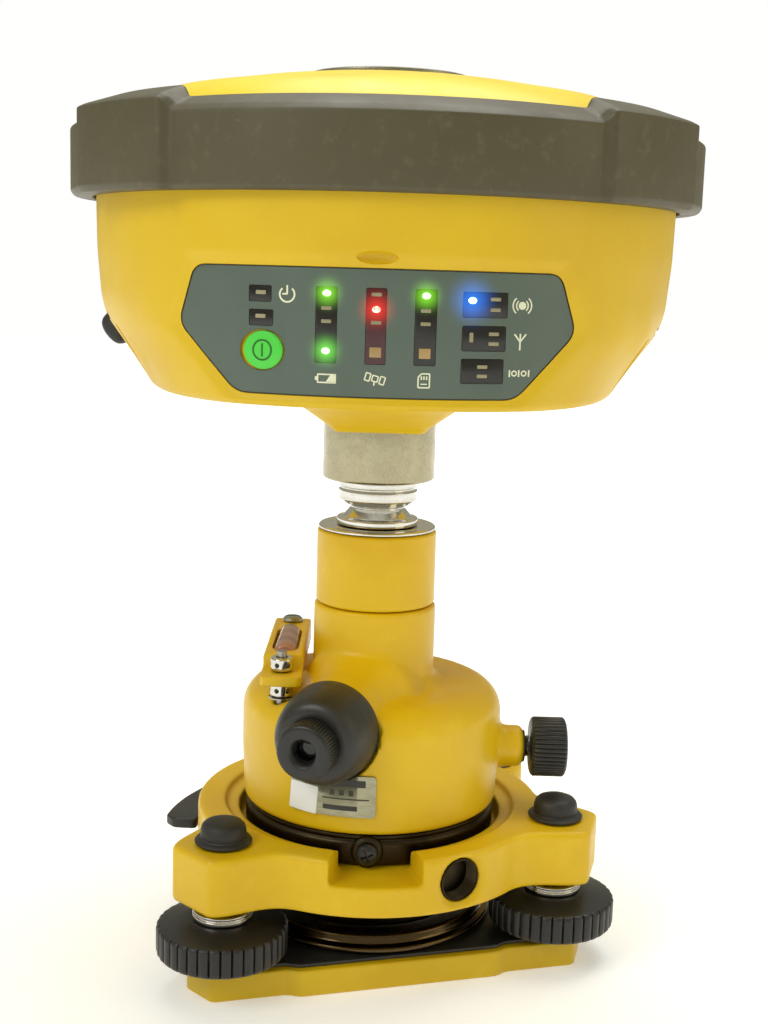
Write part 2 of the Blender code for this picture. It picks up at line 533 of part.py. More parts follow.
def housing_silhouette(inset=0.0):
    """The housing seen from the front: flat bottom, sloping lower sides, nearly upright walls."""
    right = [(65.8 - inset, HOUSING_LOW + inset),
             (CHAMFER_LOW[0] - inset * 0.6, CHAMFER_LOW[1] + inset * 0.85),
             (CHAMFER_HIGH[0] - inset, CHAMFER_HIGH[1] + inset * 0.5), (83.0 - inset, 199.0),
             (84.4 - inset, 213.0), (84.9 - inset, BAND_LOW), (85.0 - inset, HOUSING_RIM + 5)]
    return right + [(-x, z) for x, z in reversed(right)]


def upright_prism(name, silhouette, half_depth):
    """A prism along Y with an outline in X and Z."""
    return prism(name, silhouette, -half_depth, half_depth, place=Matrix.Rotation(radians(90), 4, "X"))


def panel_surface_y(x, out=0.0):
    """The y of the housing's front face at an x, moved outwards by a distance."""
    return -(HOUSING_B + out) * sqrt(1.0 - (x / (HOUSING_A + out)) ** 2)


def chamfer_place(side, along_slope=0.0):
    """A place on a side chamfer: +Z points out, +X up the slope, and side is -1 or 1."""
    run = Vector((CHAMFER_HIGH[0] - CHAMFER_LOW[0], 0.0, CHAMFER_HIGH[1] - CHAMFER_LOW[1]))
    up = run.normalized()
    out = Vector((up.z, 0.0, -up.x))
    middle = Vector((CHAMFER_LOW[0], 0.0, CHAMFER_LOW[1])) + up * (run.length * 0.46 + along_slope)
    up, out, middle = (Vector((side * v.x, v.y, v.z)) for v in (up, out, middle))
    turn = Matrix((up, out.cross(up), out)).transposed().to_4x4()
    return Matrix.Translation(middle) @ turn


def curved_plate(name, outline, inner, outer, material):
    """A plate that follows the housing's front face, from an outline in X and Z."""
    build = bmesh.new()
    rows = [[build.verts.new((x, panel_surface_y(x, out), z)) for x, z in outline] for out in (inner, outer)]
    count = len(outline)
    half = count // 2
    for i in range(count):
        j = (i + 1) % count
        build.faces.new((rows[0][i], rows[0][j], rows[1][j], rows[1][i]))
    for row in rows:
        for i in range(half - 1):
            build.faces.new((row[i], row[i + 1], row[count - 2 - i], row[count - 1 - i]))
    return finish_mesh(name, build, material)


def panel_outline(grow=0.0, steps=9):
    """The keypad's outline as matched points: along the bottom, then back along the top."""
    low_rise = (PANEL_TIP - PANEL_LOW) / (PANEL_TIP_HALF - PANEL_LOW_HALF)
    high_fall = (PANEL_HIGH - PANEL_TIP) / (PANEL_TIP_HALF - PANEL_HIGH_HALF)
    low_knee, high_knee = PANEL_LOW_HALF + grow * 0.4, PANEL_HIGH_HALF + grow * 0.8
    reaches = [PANEL_TIP_HALF + grow, high_knee, (low_knee + high_knee) / 2]
    reaches += [low_knee * (1.0 - i / steps) for i in range(steps)]
    bottom, top = [], []
    for along_x in [-r for r in reaches] + [0.0] + reaches[::-1]:
        low = PANEL_LOW - grow + max(0.0, abs(along_x) - low_knee) * low_rise
        high = PANEL_HIGH + grow - max(0.0, abs(along_x) - high_knee) * high_fall
        bottom.append((PANEL_X + along_x, min(low, PANEL_TIP - 0.4)))
        top.append((PANEL_X + along_x, max(high, PANEL_TIP + 0.4)))
    return bottom + top[::-1]


def make_housing(paint, panel_grey, green):
    shell = prism("lower_housing", plan_outline(HOUSING_A, HOUSING_B), HOUSING_LOW, HOUSING_RIM, paint)
    combine(shell, "INTERSECT", upright_prism("shape_housing", housing_silhouette(), 100.0))
    inside = prism("cut_inside", plan_outline(HOUSING_A - WALL, HOUSING_B - WALL - 0.6),
                   HOUSING_LOW + WALL, HOUSING_RIM + 2)
    combine(inside, "INTERSECT", upright_prism("shape_inside", housing_silhouette(WALL), 99.0))
    cut(shell, inside)
    for side in (-1, 1):
        top = [(x, side * y, HOUSING_LOW + 1.0)
               for x, y in ((-20.5, 72), (20.5, 72), (20.5, 30), (-20.5, 30))]
        foot = [(x, side * y, 163.7) for x, y in ((-12, 34), (12, 34), (12, 30), (-12, 30))]
        lip = [(x, side * y, 165.2) for x, y in ((-13.8, 36), (13.8, 36), (13.8, 30), (-13.8, 30))]
        join(shell, loft(f"add_ridge_{'front' if side < 0 else 'back'}", [top, lip, foot]))
    join(shell, rod("add_mount_boss", 21.0, MOUNT_FACE, HOUSING_LOW + 1.0, steps=ROUND))
    cut(shell, rod("cut_insert", 14.3, MOUNT_FACE - 8, HOUSING_LOW + 6))
    for side in (-1, 1):
        window = box(f"cut_door_{side}", (-DOOR_LENGTH / 2 - GAP, -DOOR_HALF_WIDTH - GAP, -DOOR_THICK - 6),
                     (DOOR_LENGTH / 2 + GAP, DOOR_HALF_WIDTH + GAP, 4), place=chamfer_place(side, DOOR_UP))
        cut(shell, window)
        for end in (-1, 1):
            lying = chamfer_place(side) @ at(0.0, SCOOP_Y * end, 1.6) @ Matrix.Rotation(radians(90), 4, "Y")
            cut(shell, turned(f"cut_scoop_{side}_{end}", [
                (0.0, -9.5), (1.6, -7.0), (2.9, -3.0), (3.2, 0.0), (2.9, 3.0), (1.6, 7.0), (0.0, 9.5)],
                place=lying, steps=12))
    recess = curved_plate("cut_panel", panel_outline(GAP), -PANEL_THICK - GAP, 3.0, None)
    cut(shell, recess)

    panel = curved_plate("control_panel", panel_outline(), -PANEL_THICK, 0.0, panel_grey)
    normal = Vector((BUTTON_X / HOUSING_A**2, panel_surface_y(BUTTON_X) / HOUSING_B**2, 0.0)).normalized()
    button = along(normal, (BUTTON_X, panel_surface_y(BUTTON_X), BUTTON_Z))
    hole = rod("cut_button", BUTTON_R + GAP, -6.0, 4.0, place=button)
    cut(panel, hole)
    cut(shell, rod("cut_button_shell", BUTTON_R - 0.6, -6.0, 4.0, place=button))
    turned("power_button", [
        (0.0, -4.4), (BUTTON_R - 1.2, -4.4), (BUTTON_R - 1.2, -PANEL_THICK + 0.35),
        (BUTTON_R, -PANEL_THICK + 0.35), (BUTTON_R, 0.3), (BUTTON_R - 0.5, 0.6), (0.0, 0.8)],
        green, button, steps=SMALL)


def make_doors(paint, rubber, steel):
    """Both doors are hinged at their lower edge and held by a turning latch near the upper one."""
    latches = {
        "battery": ([(0.0, -3.6), (1.6, -3.6), (1.6, GAP), (5.2, GAP), (5.2, 1.6), (4.6, 3.4), (3.2, 4.6),
                     (0.0, 5.0)], rubber),
        "card": ([(0.0, -3.6), (1.6, -3.6), (1.6, GAP), (3.4, GAP), (3.2, 1.0), (0.0, 1.2)], steel)}
    for side, name in ((-1, "battery"), (1, "card")):
        hinge = chamfer_place(side, DOOR_UP - DOOR_LENGTH / 2)
        leaf = box(f"{name}_door", (0.0, -DOOR_HALF_WIDTH, -DOOR_THICK),
                   (DOOR_LENGTH, DOOR_HALF_WIDTH, 0.0), paint, hinge)
        pocket = chamfer_place(side, LATCH_UP)
        cut(leaf, rod(f"cut_latch_{name}", 2.0, -6.0, 4.0, place=pocket, steps=FINE))
        profile, material = latches[name]
        turned(f"{name}_latch", profile, material, pocket, steps=SMALL)


def make_top(paint, band_rubber, badge, gasket):
    inner = (HOUSING_A + 0.6, HOUSING_B + 0.3)
    rings = []
    for grow, z, proud in ((-0.8, BAND_LOW, BUMPER_PROUD), (0.0, BAND_LOW + 0.8, BUMPER_PROUD),
                           (-0.5, BAND_TOP, BUMPER_PROUD), (-4.0, 249.6, BUMPER_PROUD * 0.6),
                           (-9.0, BAND_LIP, 0.0)):
        rings.append([(x, y, z) for x, y in plan_outline(BAND_A + grow, BAND_B + grow, proud=proud)])
    for a, b, z in ((BAND_A - 10.0, BAND_B - 10.0, BAND_LIP - 1.0), (DOME_R + 1.2, DOME_R - 1.2, 247.6),
                    (inner[0], inner[1], 244.0), (inner[0], inner[1], BAND_LOW)):
        rings.append([(x, y, z) for x, y in plan_outline(a, b)])
    loft("bumper_band", rings, band_rubber, ring_closed=True)

    def dome_height(radius):
        return DOME_PEAK - DOME_DROP * radius**2

    rim_a, rim_b = HOUSING_A - 0.2, HOUSING_B - 0.2
    sizes = [(r, r - 0.02 * r, dome_height(r)) for r in (CAP_FLAT_R, 40.0, 60.0)]
    sizes += [(70.0, 68.6, 254.9), (75.5, 73.6, 252.3), (78.2, 76.0, 249.6)]
    sizes += [(DOME_R + 0.4, DOME_R - 1.8, 246.6)]
    sizes += [(rim_a, rim_b, 243.0), (rim_a, rim_b, HOUSING_RIM + 1.0)]
    sizes += [(rim_a - WALL, rim_b - WALL, HOUSING_RIM + 1.0), (rim_a - WALL, rim_b - WALL, 242.0)]
    sizes += [(73.0, 71.0, 250.4)]
    sizes += [(r, r - 0.02 * r, dome_height(r) - WALL) for r in (60.0, 40.0, CAP_FLAT_R)]
    loft("top_dome", [[(x, y, z) for x, y in plan_outline(a, b, 60)] for a, b, z in sizes], paint)

    flat = dome_height(CAP_FLAT_R) + GAP
    turned("top_badge", [(0.0, flat), (CAP_FLAT_R, flat), (CAP_R, flat - 0.7), (CAP_R, CAP_TOP - 0.6),
                         (CAP_FLAT_R, CAP_TOP), (0.0, CAP_TOP)], badge)

    seal = [[(x, y, z) for x, y in plan_outline(rim_a - inset, rim_b - inset, 48)]
            for inset, z in ((0.2, HOUSING_RIM + 0.2), (2.2, HOUSING_RIM + 0.2), (2.2, HOUSING_RIM + 0.8),
                             (0.2, HOUSING_RIM + 0.8))]
    loft("housing_gasket", seal, gasket, ring_closed=True)


def make_inside(board, copper, ceramic, steel, black):
    flange = HOUSING_LOW + WALL + GAP
    turned("mount_insert", [
        (THREAD_R, MOUNT_FACE), (14.0, MOUNT_FACE), (14.0, flange), (18.5, flange), (18.5, flange + 3.1),
        (13.0, flange + 3.1), (13.0, 183.0), (THREAD_R, 183.0)], steel)
    rod("main_board", 68.0, 206.0, 207.6, board)
    rod("ground_plane", 72.0, 238.0, 239.2, copper)
    turned("antenna_element", [
        (0.0, 239.5), (42.0, 239.5), (42.0, 245.5), (28.0, 246.0), (28.0, 251.5), (0.0, 251.5)], ceramic)
    box("receiver_module", (-28, -22, 207.9), (28, 26, 218.0), steel)
    box("battery_pack", (-62.0, -25.0, 178.5), (-24.0, 25.0, 197.0), black)
    box("card_reader", (26.0, -20.0, 180.0), (60.0, 20.0, 190.0), board)


def main():
    clear_scene()
    paint = make_material("yellow_paint", (0.62, 0.38, 0.01), 0.42)
    plastic = make_material("yellow_plastic", (0.64, 0.41, 0.02), 0.45)
    black = make_material("black_plastic", (0.03, 0.03, 0.028), 0.45)
    dark = make_material("black_metal", (0.035, 0.03, 0.025), 0.4, 0.6)
    rubber = make_material("black_rubber", (0.02, 0.02, 0.02), 0.6)
    band = make_material("grey_rubber", (0.1, 0.095, 0.07), 0.6)
    steel = make_material("steel", (0.6, 0.6, 0.58), 0.25, 1.0)
    chrome = make_material("chrome", (0.75, 0.75, 0.74), 0.08, 1.0)
    brass = make_material("brass", (0.6, 0.43, 0.16), 0.3, 1.0)
    glass = make_material("glass", (0.8, 0.88, 0.82), 0.05)
    panel = make_material("panel_grey", (0.12, 0.17, 0.17), 0.4)
    green = make_material("button_green", (0.05, 0.5, 0.07), 0.4)
    label = make_material("label_foil", (0.55, 0.56, 0.5), 0.35, 0.5)
    board = make_material("circuit_board", (0.02, 0.16, 0.06), 0.5)
    copper = make_material("copper_sheet", (0.7, 0.35, 0.2), 0.35, 1.0)
    ceramic = make_material("antenna_ceramic", (0.7, 0.68, 0.6), 0.5)

    make_base(paint, black, dark, brass)
    make_foot_screws(chrome, black, rubber)
    make_tribrach_body(paint, steel, glass, dark)
    make_lock(black, steel)
    make_flange(dark, black, steel)
    make_adapter_body(paint)
    make_plummet(black, glass)
    make_clamp(steel, black)
    make_vial(paint, glass, steel)
    make_neck(paint, chrome, steel, label)
    make_housing(plastic, panel, green)
    make_doors(plastic, rubber, steel)
    make_top(plastic, band, label, rubber)
    make_inside(board, copper, ceramic, steel, black)


main()
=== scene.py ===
"""Looks of the satellite-positioning receiver on its adapter and tribrach.

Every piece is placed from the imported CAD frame. Lengths in this script are millimetres, and MM
turns them into Blender's metres when a mesh or a place is made. +Z is up, and the keypad faces -Y.
"""

from math import acos, asin, atan2, cos, degrees, hypot, pi, radians, sin, sqrt

import bmesh
import bpy
from mathutils import Matrix, Vector


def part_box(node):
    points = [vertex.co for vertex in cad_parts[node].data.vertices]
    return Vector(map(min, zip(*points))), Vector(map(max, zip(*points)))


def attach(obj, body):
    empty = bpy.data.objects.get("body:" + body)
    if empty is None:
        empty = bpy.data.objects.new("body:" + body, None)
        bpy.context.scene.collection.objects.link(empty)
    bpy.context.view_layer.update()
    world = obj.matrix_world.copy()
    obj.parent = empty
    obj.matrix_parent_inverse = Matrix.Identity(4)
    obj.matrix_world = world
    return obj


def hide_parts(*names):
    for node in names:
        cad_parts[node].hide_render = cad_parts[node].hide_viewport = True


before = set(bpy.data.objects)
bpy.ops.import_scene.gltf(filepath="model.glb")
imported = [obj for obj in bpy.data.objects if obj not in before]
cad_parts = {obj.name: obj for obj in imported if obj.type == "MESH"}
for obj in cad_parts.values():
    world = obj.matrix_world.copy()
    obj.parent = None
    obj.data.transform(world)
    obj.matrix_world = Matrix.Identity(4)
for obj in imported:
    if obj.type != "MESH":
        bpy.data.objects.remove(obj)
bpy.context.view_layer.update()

MM = 0.001
ROUND = 128          # segments of a large round piece
SMALL = 64           # segments of a small round piece
FINE = 32            # segments of a screw or a pin
VOXEL = 0.5   # grain of the remeshed castings


def node_low(node):
    """The height of a CAD node's lowest point, in millimetres."""
    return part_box(node)[0].z / MM


def node_high(node):
    """The height of a CAD node's highest point, in millimetres."""
    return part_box(node)[1].z / MM


# --- outlines -------------------------------------------------------------------------------

def polar(radius, angle):
    """The point (x, y) at this radius and this angle in degrees from +X."""
    return radius * cos(radians(angle)), radius * sin(radians(angle))


def arc(centre, radius, start, end, steps):
    """Points of an arc, both ends included, angles in degrees."""
    points = []
    for i in range(steps + 1):
        x, y = polar(radius, start + (end - start) * i / steps)
        points.append((centre[0] + x, centre[1] + y))
    return points


def circle(radius, steps=ROUND, centre=(0.0, 0.0)):
    return arc(centre, radius, 0.0, 360.0, steps)[:-1]


def turned_about(outline, angle):
    """An outline turned about the origin by an angle in degrees."""
    c, s = cos(radians(angle)), sin(radians(angle))
    return [(c * x - s * y, s * x + c * y) for x, y in outline]


def rounded(points, radius, steps=4, closed=False):
    """A polyline with each corner replaced by a curve that starts a radius away from it."""
    made = []
    count = len(points)
    for i, point in enumerate(points):
        if not closed and i in (0, count - 1):
            made.append(tuple(point))
            continue
        here = Vector(point)
        before, after = Vector(points[i - 1]) - here, Vector(points[(i + 1) % count]) - here
        reach = min(radius, 0.45 * before.length, 0.45 * after.length)
        start, end = here + before.normalized() * reach, here + after.normalized() * reach
        for step in range(steps + 1):
            t = step / steps
            made.append(tuple(start * (1 - t) ** 2 + here * 2 * t * (1 - t) + end * t**2))
    return made


def inset(outline, distance):
    """A closed counter-clockwise outline moved inwards by a distance, point by point."""
    moved = []
    count = len(outline)
    for i, (x, y) in enumerate(outline):
        before, after = outline[i - 1], outline[(i + 1) % count]
        along_x, along_y = after[0] - before[0], after[1] - before[1]
        length = hypot(along_x, along_y) or 1.0
        moved.append((x - along_y / length * distance, y + along_x / length * distance))
    return moved


def smooth_step(value, start, end):
    t = min(1.0, max(0.0, (value - start) / (end - start)))
    return t * t * (3 - 2 * t)


def soft_min(a, b, width):
    """The smaller of two numbers, blended where they are closer than a width."""
    overlap = max(width - abs(a - b), 0.0) / width
    return min(a, b) - overlap * overlap * width / 4


# --- making and placing meshes --------------------------------------------------------------

def at(x, y, z):
    return Matrix.Translation((x, y, z))


def along(direction, start):
    """A place whose +Z runs along a direction from a start point."""
    turn = Vector(direction).normalized().to_track_quat("Z", "Y").to_matrix().to_4x4()
    return Matrix.Translation(start) @ turn


def finish_mesh(name, build, material=None, place=None, sharp=38.0):
    """Turns a bmesh in millimetres into an object, its mesh placed by a matrix in millimetres."""
    bmesh.ops.recalc_face_normals(build, faces=build.faces)
    build.transform(Matrix.Scale(MM, 4) @ (place or Matrix.Identity(4)))
    mesh = bpy.data.meshes.new(name)
    build.to_mesh(mesh)
    build.free()
    mesh.shade_smooth()
    mesh.set_sharp_from_angle(angle=radians(sharp))
    if material:
        mesh.materials.append(material)
    obj = bpy.data.objects.new(name, mesh)
    bpy.context.scene.collection.objects.link(obj)
    return obj


def loft_into(build, rings, ring_closed=False, capped=True):
    """Adds a solid through rings of points to a bmesh."""
    rows = [[build.verts.new(point) for point in ring] for ring in rings]
    pairs = list(zip(rows, rows[1:]))
    if ring_closed:
        pairs.append((rows[-1], rows[0]))
    for low, high in pairs:
        for i in range(len(low)):
            j = (i + 1) % len(low)
            build.faces.new((low[i], low[j], high[j], high[i]))
    if capped and not ring_closed:
        build.faces.new(rows[0][::-1])
        build.faces.new(rows[-1])


def loft(name, rings, material=None, place=None, ring_closed=False, sharp=38.0):
    build = bmesh.new()
    loft_into(build, rings, ring_closed)
    return finish_mesh(name, build, material, place, sharp)


def slab_rings(outline, low, high, edge_low=0.0, edge_high=0.0, steps=4):
    """Rings of an upright prism whose lower and upper edges are rounded."""
    rings = []
    for step in range(steps + 1 if edge_low else 1):
        turn = radians(90.0 * step / steps) if edge_low else radians(90.0)
        ring = inset(outline, edge_low * (1 - sin(turn)))
        rings.append([(x, y, low + edge_low * (1 - cos(turn))) for x, y in ring])
    for step in range(steps + 1 if edge_high else 1):
        turn = radians(90.0 * step / steps) if edge_high else 0.0
        ring = inset(outline, edge_high * (1 - cos(turn)))
        rings.append([(x, y, high - edge_high * (1 - sin(turn))) for x, y in ring])
    return rings


def slab(name, outline, low, high, material=None, place=None, edge_low=0.0, edge_high=0.0):
    return loft(name, slab_rings(outline, low, high, edge_low, edge_high), material, place)


def box(name, low, high, material=None, place=None, edge=0.0):
    corners = [(low[0], low[1]), (high[0], low[1]), (high[0], high[1]), (low[0], high[1])]
    outline = rounded(corners, edge, closed=True) if edge else corners
    return slab(name, outline, low[2], high[2], material, place, edge * 0.6, edge * 0.6)


def turned(name, profile, material=None, place=None, steps=ROUND, edge=0.0, sharp=38.0):
    """A solid turned about +Z from a profile of (radius, height) points.

    A profile that starts and ends on the axis makes a solid piece. Any other profile is
    closed from its last point to its first and makes a ring."""
    solid = profile[0][0] == 0.0
    if edge:
        profile = rounded(profile, edge, closed=not solid)
    build = bmesh.new()
    rows = []
    for radius, height in profile:
        if radius == 0.0:
            rows.append([build.verts.new((0.0, 0.0, height))])
        else:
            rows.append([build.verts.new((x, y, height)) for x, y in circle(radius, steps)])
    pairs = list(zip(rows, rows[1:]))
    if not solid:
        pairs.append((rows[-1], rows[0]))
    for low, high in pairs:
        for i in range(steps):
            j = (i + 1) % steps
            corners = [low[i % len(low)], low[j % len(low)], high[j % len(high)], high[i % len(high)]]
            build.faces.new(list(dict.fromkeys(corners)))
    return finish_mesh(name, build, material, place, sharp)


def rod(name, radius, low, high, place=None, steps=SMALL):
    return turned(name, [(0.0, low), (radius, low), (radius, high), (0.0, high)], place=place, steps=steps)


def ribbed_ring(radius, z, ribs, depth, per_rib=8, width=0.5):
    """A ring whose radius falls into narrow grooves between rounded ribs."""
    ring = []
    for i in range(ribs * per_rib):
        crown = abs(cos(pi * i / per_rib)) ** width
        x, y = polar(radius - depth * (1 - crown), 360.0 * i / (ribs * per_rib))
        ring.append((x, y, z))
    return ring


def sector(name, inner, outer, start, end, low, high, steps=24):
    """A slice of a ring about the vertical axis, angles in degrees."""
    outline = arc((0, 0), outer, start, end, steps) + arc((0, 0), inner, end, start, steps)
    return slab(name, outline, low, high)


def helix(name, radius, wire, start, pitch, turns, material, place=None, per_turn=24, sides=8):
    """A coil of round wire about +Z."""
    build = bmesh.new()
    rings = []
    for i in range(int(turns * per_turn) + 1):
        angle = 360.0 * i / per_turn
        x, y = polar(1.0, angle)
        centre = Vector((radius * x, radius * y, start + pitch * i / per_turn))
        out = Vector((x, y, 0.0))
        ring = [centre + (out * c + Vector((0, 0, 1)) * s) * wire for c, s in circle(1.0, sides)]
        rings.append(ring)
    loft_into(build, rings)
    return finish_mesh(name, build, material, place)


def combine(obj, operation, *others):
    """Applies Boolean operations with closed helper shapes, and removes the helpers."""
    for other in others:
        modifier = obj.modifiers.new(other.name, "BOOLEAN")
        modifier.operation = operation
        modifier.solver = "MANIFOLD"
        modifier.object = other
    return settle(obj, *others)


def settle(obj, *helpers):
    """Applies an object's modifiers and removes the helper objects that they read."""
    bpy.context.view_layer.update()
    depsgraph = bpy.context.evaluated_depsgraph_get()
    mesh = bpy.data.meshes.new_from_object(obj.evaluated_get(depsgraph), depsgraph=depsgraph)
    obj.modifiers.clear()
    old = obj.data
    obj.data = mesh
    bpy.data.meshes.remove(old)
    for other in helpers:
        mesh = other.data
        bpy.data.objects.remove(other, do_unlink=True)
        bpy.data.meshes.remove(mesh)
    return obj


def cut(obj, *cutters):
    return combine(obj, "DIFFERENCE", *cutters)


def join(obj, *additions):
    return combine(obj, "UNION", *additions)


def sharpen(obj, angle=38.0):
    """Smooth shading with the edges over an angle kept sharp."""
    obj.data.shade_smooth()
    obj.data.set_sharp_from_angle(angle=radians(angle))
    return obj


def cast(obj, voxel, rounds, soft=None):
    """Turns a built-up solid into one cast surface: an even mesh with its edges worn round.

    soft gives each point a weight from 0 to 1 for a second, stronger smoothing."""
    remesh = obj.modifiers.new("cast", "REMESH")
    remesh.mode = "VOXEL"
    remesh.voxel_size = voxel * MM
    settle(obj)
    if soft:
        group = obj.vertex_groups.new(name="soft")
        for vertex in obj.data.vertices:
            weight = soft(vertex.co / MM)
            if weight > 0.0:
                group.add([vertex.index], weight, "REPLACE")
        blend = obj.modifiers.new("blend", "SMOOTH")
        blend.vertex_group = "soft"
        blend.factor, blend.iterations = 0.5, int(60 * (0.5 / voxel) ** 2)
    smooth = obj.modifiers.new("round", "SMOOTH")
    smooth.factor, smooth.iterations = 0.5, rounds
    settle(obj)
    obj.vertex_groups.clear()
    obj.data.shade_smooth()
    return obj


def bevelled(obj, width, segments=3, angle=35.0):
    bevel = obj.modifiers.new("edges", "BEVEL")
    bevel.width, bevel.segments = width * MM, segments
    bevel.limit_method, bevel.angle_limit = "ANGLE", radians(angle)
    bevel.miter_outer = "MITER_ARC"
    settle(obj)
    return sharpen(obj, 50.0)


def dressed(obj, material):
    obj.data.materials.clear()
    obj.data.materials.append(material)
    return obj


def show(piece, body, slot, *nodes):
    """The piece rides on a CAD body and stands for the CAD nodes named."""
    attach(piece, body)
    if nodes:
        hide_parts(*nodes)
    return piece


# --- finishes -------------------------------------------------------------------------------

def linear(colour):
    """A display colour, 0 to 255 per channel, as the linear colour that a shader takes."""
    return tuple(c / 255 / 12.92 if c <= 10 else ((c / 255 + 0.055) / 1.055) ** 2.4
                 for c in colour) + (1.0,)


class Finish:
    """A node material: layers of texture that feed the colour, roughness and bump of one shader."""

    def __init__(self, name, colour, rough, metallic=0.0, **sockets):
        self.material = bpy.data.materials.new(name)
        self.material.use_nodes = True
        tree = self.material.node_tree
        self.nodes, self.links = tree.nodes, tree.links
        self.shader = self.nodes["Principled BSDF"]
        self.place = self.node("ShaderNodeTexCoord").outputs["Object"]
        self.colour, self.rough, self.normal = linear(colour), rough, None
        self.shader.inputs["Metallic"].default_value = metallic
        for socket, value in sockets.items():
            self.shader.inputs[socket.replace("_", " ")].default_value = value

    def node(self, kind, inputs=None, **settings):
        made = self.nodes.new(kind)
        for key, value in settings.items():
            setattr(made, key, value)
        for key, value in (inputs or {}).items():
            self.feed(made.inputs[key], value)
        return made

    def feed(self, socket, value):
        if isinstance(value, bpy.types.NodeSocket):
            self.links.new(value, socket)
        else:
            socket.default_value = value

    def math(self, operation, a, b=0.0):
        return self.node("ShaderNodeMath", {0: a, 1: b}, operation=operation).outputs[0]

    def stretched(self, scale):
        return self.node("ShaderNodeMapping", {"Vector": self.place, "Scale": scale}).outputs[0]

    def noise(self, size, detail=3.0, rough=0.55, stretch=None, distortion=0.0):
        """Noise from 0 to 1 whose grain is a size in millimetres."""
        place = self.stretched(stretch) if stretch else self.place
        return self.node("ShaderNodeTexNoise", {
            "Vector": place, "Scale": 1.0 / (size * MM), "Detail": detail, "Roughness": rough,
            "Distortion": distortion}).outputs[0]

    def remap(self, value, low, high, to_low=0.0, to_high=1.0):
        return self.node("ShaderNodeMapRange", {
            "Value": value, "From Min": low, "From Max": high, "To Min": to_low, "To Max": to_high},
            interpolation_type="SMOOTHSTEP").outputs[0]

    def mix(self, mask, a, b):
        mixed = self.node("ShaderNodeMix", data_type="RGBA")
        self.feed(mixed.inputs["Factor"], mask)
        self.feed(mixed.inputs[6], a)
        self.feed(mixed.inputs[7], b)
        return mixed.outputs[2]

    def tint(self, mask, colour, amount=1.0):
        """Paints a colour where a mask is bright."""
        self.colour = self.mix(self.math("MULTIPLY", mask, amount), self.colour, linear(colour))

    def dull(self, mask, rough):
        """Moves the roughness towards a value where a mask is bright."""
        blend = self.node("ShaderNodeMix")
        self.feed(blend.inputs["Factor"], mask)
        self.feed(blend.inputs[2], self.rough)
        self.feed(blend.inputs[3], rough)
        self.rough = blend.outputs[0]

    def raise_by(self, height, depth, down=False):
        """Bump: the height texture, from 0 to 1, moves the surface by a depth in millimetres."""
        bump = self.node("ShaderNodeBump", {"Height": height, "Distance": depth * MM, "Strength": 1.0},
                         invert=down)
        if self.normal:
            self.feed(bump.inputs["Normal"], self.normal)
        self.normal = bump.outputs[0]

    def edges(self, width, low=0.02, high=0.2):
        """Bright along the edges, over a width in millimetres."""
        bevel = self.node("ShaderNodeBevel", {"Radius": width * MM}, samples=4)
        normal = self.node("ShaderNodeNewGeometry").outputs["Normal"]
        same = self.node("ShaderNodeVectorMath", {0: bevel.outputs[0], 1: normal}, operation="DOT_PRODUCT")
        return self.remap(self.math("SUBTRACT", 1.0, same.outputs["Value"]), low, high)

    def spot(self, centre, near, far):
        """From 1 near a point to 0 far from it, distances in millimetres."""
        away = self.node("ShaderNodeVectorMath", {0: self.place, 1: tuple(c * MM for c in centre)},
                         operation="DISTANCE").outputs["Value"]
        return self.remap(away, far * MM, near * MM)

    def painted_glow(self, lamps, reach):
        """Painted light: an emission that fades away from each lit lamp, in place of the light that the
        lamps spill on the surface round them.
        """
        total = (0.0, 0.0, 0.0, 1.0)
        for place, colour, strength, size in lamps:
            near = self.spot(place, 0.0, reach * size)
            near = self.math("MULTIPLY", self.math("POWER", near, 2.2), strength)
            total = self.mix(near, total, linear(colour))
        self.feed(self.shader.inputs["Emission Color"], total)
        self.shader.inputs["Emission Strength"].default_value = 1.0

    def close(self):
        for key, value in (("Base Color", self.colour), ("Roughness", self.rough)):
            self.feed(self.shader.inputs[key], value)
        if self.normal:
            self.feed(self.shader.inputs["Normal"], self.normal)
        return self.material


def paint(name, colour, deep, light, rough=0.4, chips=(120, 112, 80), worn=1.0):
    """Baked enamel on a casting: slight orange peel, uneven tone, rubbed and chipped edges."""
    made = Finish(name, colour, rough, Coat_Weight=0.14, Coat_Roughness=0.22, Specular_IOR_Level=0.36)
    made.tint(made.remap(made.noise(38.0), 0.35, 0.7), deep, 0.35)
    made.tint(made.remap(made.noise(9.0, 4.0), 0.5, 0.75), light, 0.22)
    edge = made.edges(0.9)
    made.tint(made.math("MULTIPLY", edge, made.remap(made.noise(6.0), 0.4, 0.7)), light, 0.35 * worn)
    chip = made.math("MULTIPLY", edge, made.remap(made.noise(2.6, 5.0, 0.7), 0.66, 0.7))
    made.tint(chip, chips, 0.85 * worn)
    grime = made.remap(made.noise(1.5, 5.0, 0.7, distortion=0.6), 0.69, 0.74)
    made.tint(grime, (95, 78, 22), 0.4 * worn)
    made.dull(made.remap(made.noise(14.0, 4.0), 0.4, 0.7), rough + 0.12)
    made.dull(chip, 0.7)
    made.raise_by(made.noise(0.9, 2.0), 0.012)
    made.raise_by(chip, 0.04, down=True)
    return made.close()


